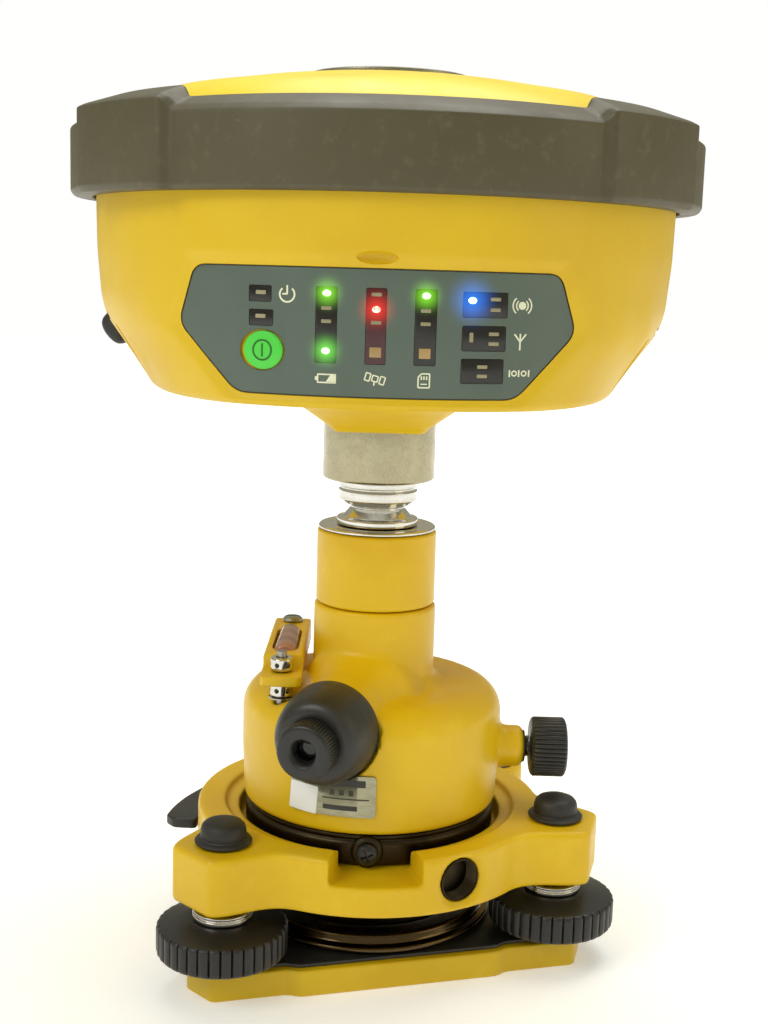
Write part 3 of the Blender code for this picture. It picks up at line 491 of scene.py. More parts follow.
def moulding(name, colour, deep, light, rough=0.42, grain=0.35, depth=0.012, scuffs=0.0):
    """Moulded plastic or rubber: fine spark grain, soft tone changes, and scuffs where handled."""
    made = Finish(name, colour, rough)
    made.tint(made.remap(made.noise(45.0), 0.35, 0.7), deep, 0.4)
    made.tint(made.remap(made.noise(3.5, 5.0, 0.65), 0.52, 0.8), light, 0.22)
    made.dull(made.remap(made.noise(18.0, 4.0), 0.4, 0.7), rough + 0.12)
    if scuffs:
        edge = made.edges(1.1)
        rubbed = made.math("MULTIPLY", edge, made.remap(made.noise(5.0, 4.0), 0.42, 0.72))
        made.tint(rubbed, light, 0.8 * scuffs)
        scratch = made.noise(1.0, 4.0, 0.6, stretch=(0.12, 0.12, 1.0), distortion=0.8)
        scratch = made.math("MULTIPLY", made.remap(scratch, 0.7, 0.76),
                            made.remap(made.noise(22.0), 0.5, 0.65))
        made.tint(scratch, light, 0.55 * scuffs)
        made.raise_by(scratch, 0.02, down=True)
    made.raise_by(made.noise(grain, 2.0), depth)
    return made.close()


def metal(name, colour, rough, streak=None, spread=0.12, depth=0.004, stain=None):
    """Turned or ground metal: fine streaks along one direction, smudges and hairline scratches."""
    made = Finish(name, colour, rough, 1.0)
    lines = made.noise(0.6, 3.0, 0.6, stretch=streak or (1.0, 1.0, 1.0))
    made.tint(made.remap(lines, 0.35, 0.75), tuple(c * 0.72 for c in colour), 0.5)
    if stain:
        made.tint(made.remap(made.noise(8.0, 4.0), 0.5, 0.75), stain, 0.5)
    made.dull(made.remap(made.noise(4.0, 4.0), 0.35, 0.75), rough + spread)
    made.raise_by(lines, depth)
    scratch = made.noise(2.2, 5.0, 0.75, distortion=1.2)
    made.raise_by(made.remap(scratch, 0.7, 0.74), 0.006, down=True)
    return made.close()


yellow_paint = paint("yellow_paint", (224, 186, 8), (204, 160, 2), (238, 208, 48))
plate_paint = paint("plate_paint", (214, 180, 16), (192, 152, 4), (232, 206, 56), 0.38)
# The housing and the dome are one yellow plastic in two copies: the housing's is darkened to paint the shade
# of the lower surfaces, and the dome's is lighter, painting the light on the top.
yellow_plastic = moulding("yellow_plastic", (214, 178, 5), (200, 158, 2), (226, 194, 30), 0.42, 0.45, 0.008)
dome_plastic_painted_light = moulding("dome_plastic_painted_light", (246, 216, 24), (236, 200, 10), (252, 228, 66), 0.36, 0.5, 0.008)
band_rubber = moulding("band_rubber", (78, 72, 48), (62, 56, 36), (128, 122, 92), 0.46, 0.4, 0.02, 1.0)
soft_rubber = moulding("soft_rubber", (36, 36, 35), (26, 26, 26), (74, 73, 70), 0.5, 0.3, 0.012, 0.8)
black_plastic = moulding("black_plastic", (34, 34, 33), (24, 24, 24), (66, 65, 62), 0.38, 0.3, 0.01, 0.7)
knob_plastic = moulding("knob_plastic", (30, 30, 30), (22, 22, 22), (70, 69, 66), 0.34, 0.25, 0.008, 1.0)
sleeve_black = moulding("sleeve_black", (44, 43, 40), (34, 33, 30), (76, 73, 62), 0.36, 0.3, 0.006, 0.5)
sheet_black = moulding("sheet_black", (40, 40, 38), (28, 28, 27), (80, 80, 74), 0.34, 0.8, 0.006, 0.8)
flange_dark = metal("flange_dark", (62, 54, 40), 0.34, (1.0, 1.0, 6.0), stain=(40, 36, 30))
ring_dark = metal("ring_dark", (92, 78, 54), 0.16, (1.0, 1.0, 8.0), stain=(48, 40, 30))
chrome = metal("chrome", (214, 212, 206), 0.1, (1.0, 1.0, 8.0), 0.08, 0.002)
steel = metal("steel", (172, 164, 136), 0.22, (6.0, 6.0, 0.5), 0.1, 0.003)
dull_steel = metal("dull_steel", (168, 166, 158), 0.32, (1.0, 1.0, 5.0))
brass = metal("brass", (196, 160, 84), 0.28, (1.0, 1.0, 6.0), stain=(120, 90, 46))
copper = metal("copper_sheet", (196, 122, 84), 0.34, (0.4, 4.0, 1.0), stain=(130, 74, 50))
cap_foil = metal("cap_foil", (150, 148, 134), 0.36, (1.0, 4.0, 1.0))
panel_black = moulding("panel_black", (26, 25, 24), (18, 18, 18), (44, 43, 40), 0.16, 0.6, 0.002)
panel_maroon = moulding("panel_maroon", (52, 22, 26), (34, 14, 18), (78, 34, 38), 0.16, 0.6, 0.002)
panel_navy = moulding("panel_navy", (24, 26, 52), (16, 18, 36), (40, 44, 84), 0.16, 0.6, 0.002)
icon_print = moulding("icon_print", (226, 228, 200), (206, 208, 178), (240, 240, 220), 0.5, 0.3, 0.003)
icon_dark = moulding("icon_dark", (26, 96, 18), (20, 80, 14), (36, 116, 30), 0.5, 0.3, 0.003)
button_green = moulding("button_green", (74, 206, 66), (58, 186, 52), (106, 226, 96), 0.4, 0.5, 0.006)
lamp_off = moulding("lamp_off", (150, 142, 112), (112, 106, 84), (214, 208, 180), 0.3, 0.35, 0.02)
lamp_square = moulding("lamp_square", (176, 148, 96), (126, 96, 66), (216, 196, 140), 0.3, 0.5, 0.02)
white_sticker = moulding("white_sticker", (236, 238, 238), (220, 222, 220), (248, 248, 248), 0.45, 0.6,
                         0.004)
dark_print_and_gap_shade = moulding("dark_print_and_gap_shade", (52, 52, 48), (40, 40, 38), (76, 76, 70), 0.5, 0.4, 0.002)
board_green = moulding("circuit_board", (22, 92, 48), (14, 66, 34), (46, 128, 74), 0.42, 0.8, 0.03)
ceramic = moulding("antenna_ceramic", (206, 198, 172), (186, 178, 152), (224, 218, 198), 0.5, 0.5, 0.01)
level_plastic = moulding("level_plastic", (196, 188, 150), (170, 160, 120), (220, 214, 186), 0.4, 0.5, 0.01)
spring_steel = metal("spring_steel", (180, 178, 170), 0.22, (2.0, 2.0, 2.0))


def make_label():
    """Silver-grey printed foil, brushed along the plate."""
    made = Finish("label_foil", (168, 166, 140), 0.36, 0.55)
    made.tint(made.remap(made.noise(0.5, 3.0, stretch=(0.15, 0.15, 1.0)), 0.4, 0.7), (142, 140, 116), 0.6)
    made.tint(made.remap(made.noise(6.0, 4.0), 0.45, 0.75), (190, 188, 166), 0.5)
    made.raise_by(made.noise(0.5, 3.0, stretch=(0.15, 0.15, 1.0)), 0.004)
    return made.close()


def make_glass(name, colour, rough=0.03, ior=1.5):
    made = Finish(name, colour, rough, Transmission_Weight=1.0, IOR=ior)
    made.dull(made.remap(made.noise(3.0, 4.0), 0.45, 0.8), rough + 0.06)
    made.raise_by(made.noise(5.0, 2.0), 0.01)
    return made.close()


def make_lamp(name, colour, strength):
    """A lit lamp: its colour flecked with white by a fine noise, and glowing."""
    made = Finish(name, colour, 0.3)
    made.tint(made.remap(made.noise(0.6, 3.0), 0.35, 0.7), (255, 255, 255), 0.4)
    made.feed(made.shader.inputs["Emission Color"], made.colour)
    made.shader.inputs["Emission Strength"].default_value = strength
    made.raise_by(made.noise(0.4), 0.02)
    return made.close()


label_foil = make_label()
clear_glass = make_glass("clear_glass", (232, 238, 230))
eye_glass = make_glass("eye_glass", (70, 74, 80), 0.06)
vial_glass = make_glass("vial_glass", (240, 214, 200), 0.05)
lamp_green = make_lamp("lamp_green", (130, 255, 110), 3.0)
lamp_red = make_lamp("lamp_red", (255, 110, 90), 3.0)
lamp_blue = make_lamp("lamp_blue", (110, 220, 255), 4.5)


# --- the receiver's shapes ------------------------------------------------------------------

HOUSING_LOW, HOUSING_RIM = 174.5, node_high("lower_housing")
MOUNT_FACE = 170.0                           # the boss that the steel sleeve screws against
HOUSING_A, HOUSING_B = 85.0, 84.0            # plan half-axes of the yellow housing
BAND_A, BAND_B = 92.3, 87.0
BAND_LOW = node_low("bumper_band")
LIP_A, LIP_B = 81.4, 78.2                    # plan half-axes of the band's inner lip
DOME_TOP, DOME_DROP = 264.3, 0.0018           # the dome falls by this times its radius squared
DOME_SIDES, DOME_SQUASH = 192, 0.98          # points round the dome, and its depth over its width
WALL = 2.6
SIDE_PROFILE = ((64.9, 173.6), (67.2, 175.6), (81.2, 193.5), (83.0, 199.0), (84.3, 213.0), (84.6, 227.0),
                (84.7, 236.0))
CREASE_ANGLES = ((62.2, 175.0), (52.7, 193.5))            # facets' front edges, degrees from X, and heights
CHAMFER_LOW, CHAMFER_HIGH = (67.2, 175.0), (81.2, 193.5)
DOOR_LENGTH, DOOR_HALF_WIDTH, DOOR_THICK = 18.0, 26.0, 2.4
DOOR_UP, LATCH_UP = 3.0, 8.8                 # their middles, up the slope from the facet's middle
PANEL_CORNERS = ((-36.0, 177.8), (33.8, 177.8), (49.2, 194.3), (44.5, 208.8), (-47.4, 208.8), (-51.6, 194.3))
FILM_DEPTH = 0.95                            # how far the keypad film lies below the housing's ellipse
BUTTON_X, BUTTON_Z, BUTTON_R, BUTTON_SQUASH = -29.4, 188.4, 5.3, 0.9
SCOOP_Y = 31.8                               # the finger scoops beside the doors
EYE_ASIDE, EYE_DISTANCE, EYE_HEIGHT = 2.0, 432.08, 207.0
EYE_DOWN, EYE_ROLL = 9.37, 1.7               # how far the camera looks down and leans, in degrees


def ellipse_radius(a, b, angle):
    """The distance from the axis to an ellipse with half-axes a along X and b along Y."""
    return 1.0 / sqrt((cos(angle) / a) ** 2 + (sin(angle) / b) ** 2)


def between(value, table):
    """Straight-line interpolation in a table of (output, input) pairs sorted by input."""
    if value <= table[0][1]:
        return table[0][0]
    for (low_out, low_in), (high_out, high_in) in zip(table, table[1:]):
        if value <= high_in:
            return low_out + (high_out - low_out) * (value - low_in) / (high_in - low_in)
    return table[-1][0]


SIDE_CURVE = rounded(SIDE_PROFILE, 2.6, 6)


def side_reach(angle, z, inset_by=0.0):
    """The housing in plan before its small roundings: an ellipse, drawn in towards the sides."""
    drawn_in = HOUSING_A - between(z, SIDE_CURVE)
    crease = sin(radians(between(z, CREASE_ANGLES)))
    share = 1.0 - (sin(angle) / crease) ** 2
    share = 0.5 * (share + sqrt(share**2 + 0.002))
    return ellipse_radius(HOUSING_A - inset_by, HOUSING_B - inset_by, angle) - drawn_in * share


def side_x(y, z):
    """The x of the housing's right side at a y and a height."""
    reach = 75.0
    for _ in range(8):
        angle = asin(y / reach)
        reach = side_reach(angle, z)
    return reach * cos(angle)


def panel_distance(x, z):
    """How far a point of the front face lies outside the keypad's outline."""
    away = []
    for (ax, az), (bx, bz) in zip(PANEL_CORNERS, PANEL_CORNERS[1:] + PANEL_CORNERS[:1]):
        length = hypot(bx - ax, bz - az)
        away.append(((x - ax) * (bz - az) - (z - az) * (bx - ax)) / length)
    return max(away)


def housing_radius(angle, z, inset_by=0.0):
    """The housing's outside in plan, at an angle in radians and a height."""
    reach = side_reach(angle, z, inset_by)
    if z < HOUSING_LOW + 2.0:
        reach -= 2.0 * (1 - sqrt(max(0.0, 1 - ((HOUSING_LOW + 2.0 - z) / 2.0) ** 2)))
    if sin(angle) < 0.0 and not inset_by:
        dip = 1 - smooth_step(panel_distance(reach * cos(angle), z), 0.5, 3.6)
        reach -= 0.8 * dip * smooth_step(z, 174.5, 177.5)
    return reach


def front_y(x, out=0.0):
    """The y of the housing's front face at an x, moved outwards by a distance."""
    return -(HOUSING_B + out) * sqrt(1.0 - (x / (HOUSING_A + out)) ** 2)


def bend_front(obj, step=2.5):
    """Bends a flat piece, drawn in X and Z with its depth along Y, onto the housing's front."""
    build = bmesh.new()
    build.from_mesh(obj.data)
    low = min(v.co.x for v in build.verts) / MM
    high = max(v.co.x for v in build.verts) / MM
    x = low + step
    while x < high - 0.2:
        geometry = build.verts[:] + build.edges[:] + build.faces[:]
        bmesh.ops.bisect_plane(build, geom=geometry, plane_co=(x * MM, 0, 0), plane_no=(1, 0, 0))
        x += step
    for vertex in build.verts:
        vertex.co.y = front_y(vertex.co.x / MM, -vertex.co.y / MM) * MM
    build.to_mesh(obj.data)
    build.free()
    return sharpen(obj)


FRONT = Matrix.Rotation(radians(90), 4, "X")     # turns a flat drawing into the X and Z plane


def front_piece(name, outline, inner, outer, material=None, edge=0.0):
    """A thin piece on the receiver's front, between two depths measured outwards."""
    piece = slab(name, outline, inner, outer, material, FRONT, 0.0, edge)
    return bend_front(piece)


def rectangle(x0, x1, z0, z1, corner=0.5):
    return rounded([(x0, z0), (x1, z0), (x1, z1), (x0, z1)], corner, 3, closed=True)


def chamfer_place(side, along_slope=0.0):
    """A place on a side facet: +Z points out, +X up the slope, and side is -1 or 1."""
    run = Vector((CHAMFER_HIGH[0] - CHAMFER_LOW[0], 0.0, CHAMFER_HIGH[1] - CHAMFER_LOW[1]))
    up = run.normalized()
    out = Vector((up.z, 0.0, -up.x))
    middle = Vector((CHAMFER_LOW[0], 0.0, CHAMFER_LOW[1])) + up * (run.length * 0.46 + along_slope)
    up, out, middle = (Vector((side * v.x, v.y, v.z)) for v in (up, out, middle))
    turn = Matrix((up, out.cross(up), out)).transposed().to_4x4()
    return Matrix.Translation(middle) @ turn


def make_housing():
    rows = [0.0, 0.05, 0.18, 0.4, 0.72, 1.1, 1.5, 2.0]
    rows += [2.0 + 0.9 * i for i in range(1, 49)] + [48.0, 52.0, HOUSING_RIM - HOUSING_LOW]
    angles = [2 * pi * i / 512 for i in range(512)]

    def ring(z, shape_z, inset_by=0.0):
        reach = [housing_radius(angle, shape_z, inset_by) for angle in angles]
        return [(r * cos(a), r * sin(a), z) for r, a in zip(reach, angles)]

    shell = loft("receiver_lower_housing", [ring(HOUSING_LOW + z, HOUSING_LOW + z) for z in rows])
    cut(shell, loft("hollow", [ring(z + WALL, max(z, HOUSING_LOW + 0.4), WALL)
                               for z in (HOUSING_LOW, 176.5, 180, 184, 188, 193.5, 198, 213, 231)]))
    for side in (-1, 1):
        outlines = []
        for half, near, far, z in ((20.8, 72.4, 29.5, 175.8), (20.3, 71.6, 29.8, 174.2),
                                   (14.2, 37.2, 30, 165.6),
                                   (13.6, 36.2, 30.2, 164.7), (12.6, 35.0, 31.0, 163.9),
                                   (11.4, 34.0, 32.0, 163.7)):
            corners = [(-half, far), (half, far), (half, near), (-half, near)]
            outlines.append([(x, side * y, z) for x, y in rounded(corners, 2.4, 5, closed=True)])
        join(shell, loft(f"ridge_{side}", outlines))
    join(shell, turned("mount_boss", [(0.0, MOUNT_FACE), (20.2, MOUNT_FACE), (21.0, MOUNT_FACE + 0.8),
                                      (21.0, 175.8), (0.0, 175.8)], edge=0.3))
    cut(shell, rod("insert_bore", 14.3, MOUNT_FACE - 8, HOUSING_LOW + 6, steps=ROUND))
    for side in (-1, 1):
        half, width = DOOR_LENGTH / 2 + 0.35, DOOR_HALF_WIDTH + 0.35
        outline = rounded([(-half, -width), (half, -width), (half, width), (-half, width)], 3.2, 6,
                          closed=True)
        cut(shell, slab("door_window", outline, -11.0, 4.0, place=chamfer_place(side, DOOR_UP)))
        for end in (-1, 1):
            y = SCOOP_Y * end
            low, high = (Vector((side * side_x(y, z), y, z)) for z in (176.4, 191.4))
            middle = (low + high) / 2 + Vector((side * 0.75, 0.5 * end, -0.6))
            profile = [(0.0, -10.4)] + [(3.3 * cos(radians(a)) ** 0.8, 10.4 * sin(radians(a)))
                                        for a in range(-80, 81, 10)] + [(0.0, 10.4)]
            cut(shell, turned("scoop", profile, place=along(high - low, middle), steps=FINE))
    cut(shell, bend_front(slab("film_pocket", inset(panel_rim(), -0.35), -1.7, 3.0, place=FRONT)))
    cut(shell, rod("button_bore", 4.5, -6.0, 4.0, place=button_place()))
    dimple = turned("dimple", [(0.0, -1.7)] + [(4.9 * cos(radians(a)), 1.7 * sin(radians(a)))
                                               for a in range(-75, 76, 15)] + [(0.0, 1.7)], steps=48)
    dimple.data.transform(Matrix.Translation(Vector((-1.4, front_y(-1.4) + 0.2, 211.6)) * MM)
                          @ Matrix.Diagonal((1.05, 0.38, 1.0, 1.0)))
    cut(shell, dimple)
    for x, z, size in ((-66.4, 200.2, 0.3), (-65.2, 199.7, 0.42), (-63.9, 200.3, 0.34), (-62.8, 199.9, 0.4),
                       (-60.6, 202.3, 0.25)):
        cut(shell, turned("nick", [(0.0, -0.3), (size, -0.25), (size * 1.1, 0.5), (0.0, 0.6)],
                          place=at(x, front_y(x), z) @ FRONT, steps=10))
    show(dressed(sharpen(shell, 32.0), yellow_plastic), "adapter", "yellow_plastic", "lower_housing")


def make_leaf(name, side):
    """A side door, drawn flat with its rail and then bent onto the housing's facet."""
    half, width = DOOR_LENGTH / 2, DOOR_HALF_WIDTH
    outline = rounded([(-half, -width), (half, -width), (half, width), (-half, width)], 3.0, 6, closed=True)
    leaf = slab(f"{name}_leaf", outline, -DOOR_THICK, 0.0, yellow_plastic, edge_high=0.5)
    frames = []
    for edge, corner, low in ((0.0, 1.6, -0.35), (0.8, 1.2, -3.0)):
        u, v = half - 2 - edge, width - 5 - edge
        frames.append(slab("rail", rounded([(-u, -v), (u, -v), (u, v), (-u, v)], corner, 4, closed=True),
                           low, 2.0 + edge))
    cut(leaf, cut(*frames), rod("latch_hole", 2.0, -6.0, 4.0, place=at(LATCH_UP - DOOR_UP, 0, 0)))
    place = chamfer_place(side, DOOR_UP)
    up, out = place.to_3x3().col[0].copy(), place.to_3x3().col[2].copy()
    build = bmesh.new()
    build.from_mesh(leaf.data)
    for axis, reach, step in ((1, width, 2.5), (0, half, 4.5)):
        position = -reach + step
        while position < reach - 0.3:
            normal = Vector((axis == 0, axis == 1, 0))
            bmesh.ops.bisect_plane(build, geom=build.verts[:] + build.edges[:] + build.faces[:],
                                   plane_co=normal * position * MM, plane_no=normal)
            position += step
    for vertex in build.verts:
        u, v, w = vertex.co / MM
        z = place.translation.z + up.z * u
        surface = Vector((side * side_x(v, z), side * v, z))
        vertex.co = (surface + out * w) * MM
    build.to_mesh(leaf.data)
    build.free()
    return sharpen(leaf, 30.0)


def make_doors():
    for side, name in ((-1, "battery_door"), (1, "card_door")):
        show(make_leaf(name, side), name, "yellow_plastic", name)

    place = chamfer_place(-1, LATCH_UP)
    latch = turned("battery_latch_cap", [
        (0.0, -3.4), (1.6, -3.4), (1.6, 0.25), (5.2, 0.25), (5.2, 1.5), (4.9, 2.9), (4.1, 4.1), (2.7, 4.8),
        (0.0, 5.0)], place=place, edge=0.5, steps=SMALL)
    for turn in range(0, 360, 24):
        cut(latch, rod("groove", 0.3, -1.0, 7.0, steps=12,
                       place=place @ Matrix.Rotation(radians(turn), 4, "Z") @ at(5.35, 0, 0)))
    cut(latch, box("slot", (-3.4, -0.6, 3.8), (3.4, 0.6, 6.0), place=place, edge=0.5))
    show(dressed(sharpen(latch, 30), soft_rubber), "battery_latch", "black_rubber", "battery_latch")

    place = chamfer_place(1, LATCH_UP)
    latch = turned("card_latch_screw", [
        (0.0, -3.4), (1.6, -3.4), (1.6, 0.25), (3.4, 0.25), (3.3, 0.9), (2.9, 1.2), (0.0, 1.25)],
        place=place, edge=0.2, steps=SMALL)
    cut(latch, box("slot", (-3.0, -0.45, 0.6), (3.0, 0.45, 3.0), place=place))
    show(dressed(sharpen(latch, 30), dull_steel), "card_latch", "steel", "card_latch")


# The lit lamps: x and z, the colour of the painted glow that they spill, and how wide and how strong that
# glow is.
LAMPS = (((-13.5, 202.9), (150, 255, 60), 0.85, 0.8), ((-13.5, 188.8), (120, 255, 70), 0.85, 0.8),
         ((-1.3, 199.2), (255, 50, 36), 0.95, 0.8), ((10.8, 202.8), (150, 255, 50), 0.85, 0.8),
         ((22.2, 202.0), (40, 130, 255), 1.25, 0.9))


def lamp_point(x, z, out=-0.7):
    return x, front_y(x, out), z


def make_painted_glow_finish(name, colour, deep, light, rough, reach, power=1.0):
    """A panel finish with painted light: it glows round the lit lamps, in place of the light that they spill
    on it.
    """
    made = Finish(name, colour, rough)
    made.tint(made.remap(made.noise(20.0), 0.35, 0.7), deep, 0.4)
    made.tint(made.remap(made.noise(0.6, 4.0), 0.5, 0.8), light, 0.18)
    made.dull(made.remap(made.noise(12.0, 4.0), 0.4, 0.7), rough + 0.1)
    made.raise_by(made.noise(0.35, 2.0), 0.004)
    made.painted_glow([(lamp_point(*spot), shine, strength * power, size) for spot, shine, size, strength in LAMPS],
              reach)
    return made.close()


# The keypad film and the windows glow round the lit lamps: painted light.
film_grey = make_painted_glow_finish("film_grey", (82, 97, 87), (74, 88, 80), (102, 114, 104), 0.4, 7.5, 0.8)
window_black = make_painted_glow_finish("window_black", (27, 26, 24), (18, 18, 18), (44, 43, 40), 0.18, 7.5, 1.0)
window_maroon = make_painted_glow_finish("window_maroon", (66, 26, 30), (44, 16, 20), (96, 42, 44), 0.2, 7.5, 1.0)

WINDOWS = {"clock_a": (-33.0, -27.2, 200.2, 204.3), "clock_b": (-32.9, -26.7, 194.3, 198.4),
           "battery": (-16.2, -10.8, 185.8, 204.4), "satellite": (-3.9, 1.25, 185.8, 204.4),
           "card": (8.1, 13.55, 185.8, 204.4), "radio_a": (19.8, 31.1, 197.8, 204.1),
           "radio_b": (19.8, 30.9, 189.6, 195.9), "radio_c": (19.8, 30.6, 181.6, 187.8)}


def panel_rim():
    return rounded(PANEL_CORNERS, 3.0, 6, closed=True)


def make_panel():
    film = slab("keypad_film", panel_rim(), -1.55, -FILM_DEPTH, None, FRONT, 0.0, 0.12)
    for name, window in WINDOWS.items():
        cut(film, slab(f"cut_{name}", rectangle(*window), -2.0, 0.0, place=FRONT))
    hole = [(BUTTON_X + x, BUTTON_Z + z * BUTTON_SQUASH) for x, z in circle(BUTTON_R + 0.4, SMALL)]
    cut(film, slab("cut_button", hole, -2.0, 0.0, place=FRONT))
    film = dressed(bend_front(film), film_grey)
    show(film, "adapter", "panel_film", "control_panel")
    # A dark ring under the film's rim fills the gap round the keypad: painted shade in the gap.
    gap_shade_piece = slab("keypad_gap_shade", inset(panel_rim(), -0.2), -1.6, -1.12, None, FRONT)
    cut(gap_shade_piece, slab("cut_gap_shade", inset(panel_rim(), 0.6), -3.0, 1.0, place=FRONT))
    show(dressed(bend_front(gap_shade_piece), dark_print_and_gap_shade), "adapter", "black_plastic")
    for name, (x0, x1, z0, z1) in WINDOWS.items():
        finish = window_maroon if name == "satellite" else window_black
        glass = front_piece(f"window_{name}", rectangle(x0 + 0.06, x1 - 0.06, z0 + 0.06, z1 - 0.06), -1.62,
                            -FILM_DEPTH - 0.12, finish, 0.08)
        show(glass, "adapter", "black_plastic")


def make_chips():
    chips = [("clock_a", -29.95, 202.5, 2.6, 1.0), ("clock_b", -29.95, 196.7, 2.6, 1.0)]
    for column, x in (("battery", -13.5), ("satellite", -1.3), ("card", 10.8)):
        chips += [(f"{column}_0", x, 202.8, 2.5, 0.9), (f"{column}_1", x, 199.2, 2.5, 0.9),
                  (f"{column}_2", x, 196.0, 2.5, 0.9), (f"{column}_3", x, 188.8, 2.9, 2.5)]
    chips += [("radio_a0", 22.2, 202.0, 2.2, 1.6), ("radio_a1", 28.0, 202.4, 2.6, 0.9),
              ("radio_a2", 28.0, 199.8, 2.6, 0.9), ("radio_b0", 22.2, 193.0, 1.0, 2.4),
              ("radio_b1", 27.85, 193.9, 2.6, 0.9), ("radio_b2", 27.85, 191.5, 2.6, 0.9),
              ("radio_c0", 25.2, 185.8, 2.6, 0.9), ("radio_c1", 25.2, 183.5, 2.6, 0.9)]
    lit = {"battery_0": lamp_green, "battery_3": lamp_green, "card_0": lamp_green, "satellite_1": lamp_red,
           "radio_a0": lamp_blue}
    for name, x, z, width, height in chips:
        finish = lamp_square if name.endswith("_3") else lamp_off
        outline = rectangle(x - width / 2, x + width / 2, z - height / 2, z + height / 2, 0.25)
        if name in lit:
            finish = lit[name]
            outline = [(x + 1.05 * px, z + 0.8 * pz) for px, pz in circle(1.0, FINE)]
        piece = front_piece(f"chip_{name}", outline, -FILM_DEPTH - 0.2, -FILM_DEPTH + 0.1, finish, 0.15)
        show(piece, "adapter", "black_plastic")


def stroke(points, width):
    """A closed outline round a line of points, drawn with a pen of a width."""
    left, right = [], []
    for i, (x, y) in enumerate(points):
        before, after = points[max(i - 1, 0)], points[min(i + 1, len(points) - 1)]
        dx, dy = after[0] - before[0], after[1] - before[1]
        length = hypot(dx, dy) or 1.0
        left.append((x - dy / length * width / 2, y + dx / length * width / 2))
        right.append((x + dy / length * width / 2, y - dx / length * width / 2))
    return right + left[::-1]


def icon(name, finish, *outlines, low=-FILM_DEPTH - 0.1, high=-FILM_DEPTH + 0.03):
    """A printed sign made of filled outlines in one piece."""
    build = bmesh.new()
    for outline in outlines:
        loft_into(build, [[(x, z, depth) for x, z in outline] for depth in (low, high)])
    piece = finish_mesh(name, build, finish, FRONT)
    show(bend_front(piece, 1.5), "adapter", "panel_film")
    return piece


def loop(centre, radius, width, steps=28, start=0.0, end=360.0):
    """A printed ring, as short filled strips."""
    strips = []
    for i in range(steps):
        a, b = (start + (end - start) * k / steps for k in (i, i + 1))
        strips.append([*arc(centre, radius + width / 2, a, b, 1), *arc(centre, radius - width / 2, b, a, 1)])
    return strips


def make_icons():
    icon("sign_clock", icon_print, *loop((-23.3, 202.2), 1.85, 0.42, 24, 130, 410),
         stroke([(-23.3, 204.4), (-23.3, 202.3)], 0.42), stroke([(-24.5, 202.3), (-23.2, 202.3)], 0.4))
    low, high = 181.05, 183.05
    icon("sign_battery", icon_print, stroke([(-15.4, low), (-10.75, low)], 0.36),
         stroke([(-15.4, high), (-10.75, high)], 0.36), stroke([(-15.3, low), (-15.3, high)], 0.36),
         rectangle(-16.0, -15.4, 181.6, 182.5, 0.1), [(-13.4, low), (-10.75, low), (-10.75, high),
                                                      (-12.1, high)])
    turn, small = radians(-16), 0.78

    def tilted(points):
        return [(-1.2 + small * (x * cos(turn) - z * sin(turn)),
                 182.4 + small * (x * sin(turn) + z * cos(turn)))
                for x, z in points]

    frames = []
    for x0, x1, z0, z1 in ((-3.1, -1.6, -1.3, 1.1), (-0.9, 0.9, -0.9, 0.9), (1.6, 3.1, -1.1, 1.3)):
        corners = [(x0, z0), (x1, z0), (x1, z1), (x0, z1), (x0, z0)]
        frames += [stroke(tilted([a, b]), 0.32) for a, b in zip(corners, corners[1:])]
    icon("sign_satellite", icon_print, *frames, stroke(tilted([(0.0, -0.9), (0.3, -2.2)]), 0.32))
    card = [(9.4, 180.5), (12.2, 180.5), (12.2, 183.9), (10.2, 183.9), (9.4, 183.1), (9.4, 180.5)]
    icon("sign_card", icon_print, *[stroke([a, b], 0.36) for a, b in zip(card, card[1:])],
         rectangle(10.0, 11.6, 181.2, 181.5, 0.05), rectangle(10.0, 10.35, 182.4, 183.3, 0.05),
         rectangle(10.65, 11.0, 182.4, 183.3, 0.05), rectangle(11.3, 11.65, 182.4, 183.3, 0.05))
    x = 34.8
    waves = [loop((x, 201.0), radius, 0.34, 10, middle - 50, middle + 50)
             for radius in (1.5, 2.4) for middle in (0, 180)]
    icon("sign_link", icon_print, *loop((x, 201.0), 0.5, 1.0, 12),
         *[strip for wave in waves for strip in wave])
    icon("sign_antenna", icon_print, stroke([(34.6, 190.0), (34.6, 194.1)], 0.4),
         stroke([(33.1, 194.0), (34.6, 192.1)], 0.4), stroke([(36.1, 194.0), (34.6, 192.1)], 0.4))
    icon("sign_data", icon_print, *[stroke([(x, 183.4), (x, 185.1)], 0.4) for x in (32.2, 34.6, 37.2)],
         *loop((33.4, 184.25), 0.6, 0.34, 14), *loop((35.9, 184.25), 0.6, 0.34, 14))


def button_place():
    """A place on the keypad with +Z out of the button's middle and +Y as near up as it goes."""
    normal = Vector((BUTTON_X / HOUSING_A**2, front_y(BUTTON_X) / HOUSING_B**2, 0.0)).normalized()
    return along(normal, (BUTTON_X, front_y(BUTTON_X), BUTTON_Z)) @ upright(normal)


def make_button():
    button = turned("power_button_cap", [
        (0.0, -4.2), (3.7, -4.2), (3.7, -1.0), (BUTTON_R, -1.0), (BUTTON_R, -0.75), (BUTTON_R - 0.4, -0.4),
        (3.0, -0.22), (0.0, -0.15)],
        button_green, button_place() @ Matrix.Diagonal((1.0, BUTTON_SQUASH, 1.0, 1.0)), edge=0.25)
    show(button, "power_button", "button_green", "power_button")
    build = bmesh.new()
    for outline in [*loop((0, 0), 2.45, 0.42, 40), rectangle(-0.22, 0.22, -1.65, 1.65, 0.1)]:
        loft_into(build, [[(x, y, depth) for x, y in outline] for depth in (-0.34, -0.1)])
    show(finish_mesh("power_button_mark", build, icon_dark, button_place()), "power_button", "button_green")


def upright(normal):
    """The turn about a place's +Z that brings its +Y as near to straight up as it goes."""
    place = along(normal, (0, 0, 0)).to_3x3()
    up = place.transposed() @ Vector((0, 0, 1))
    return Matrix.Rotation(atan2(up.y, up.x) - pi / 2, 4, "Z")


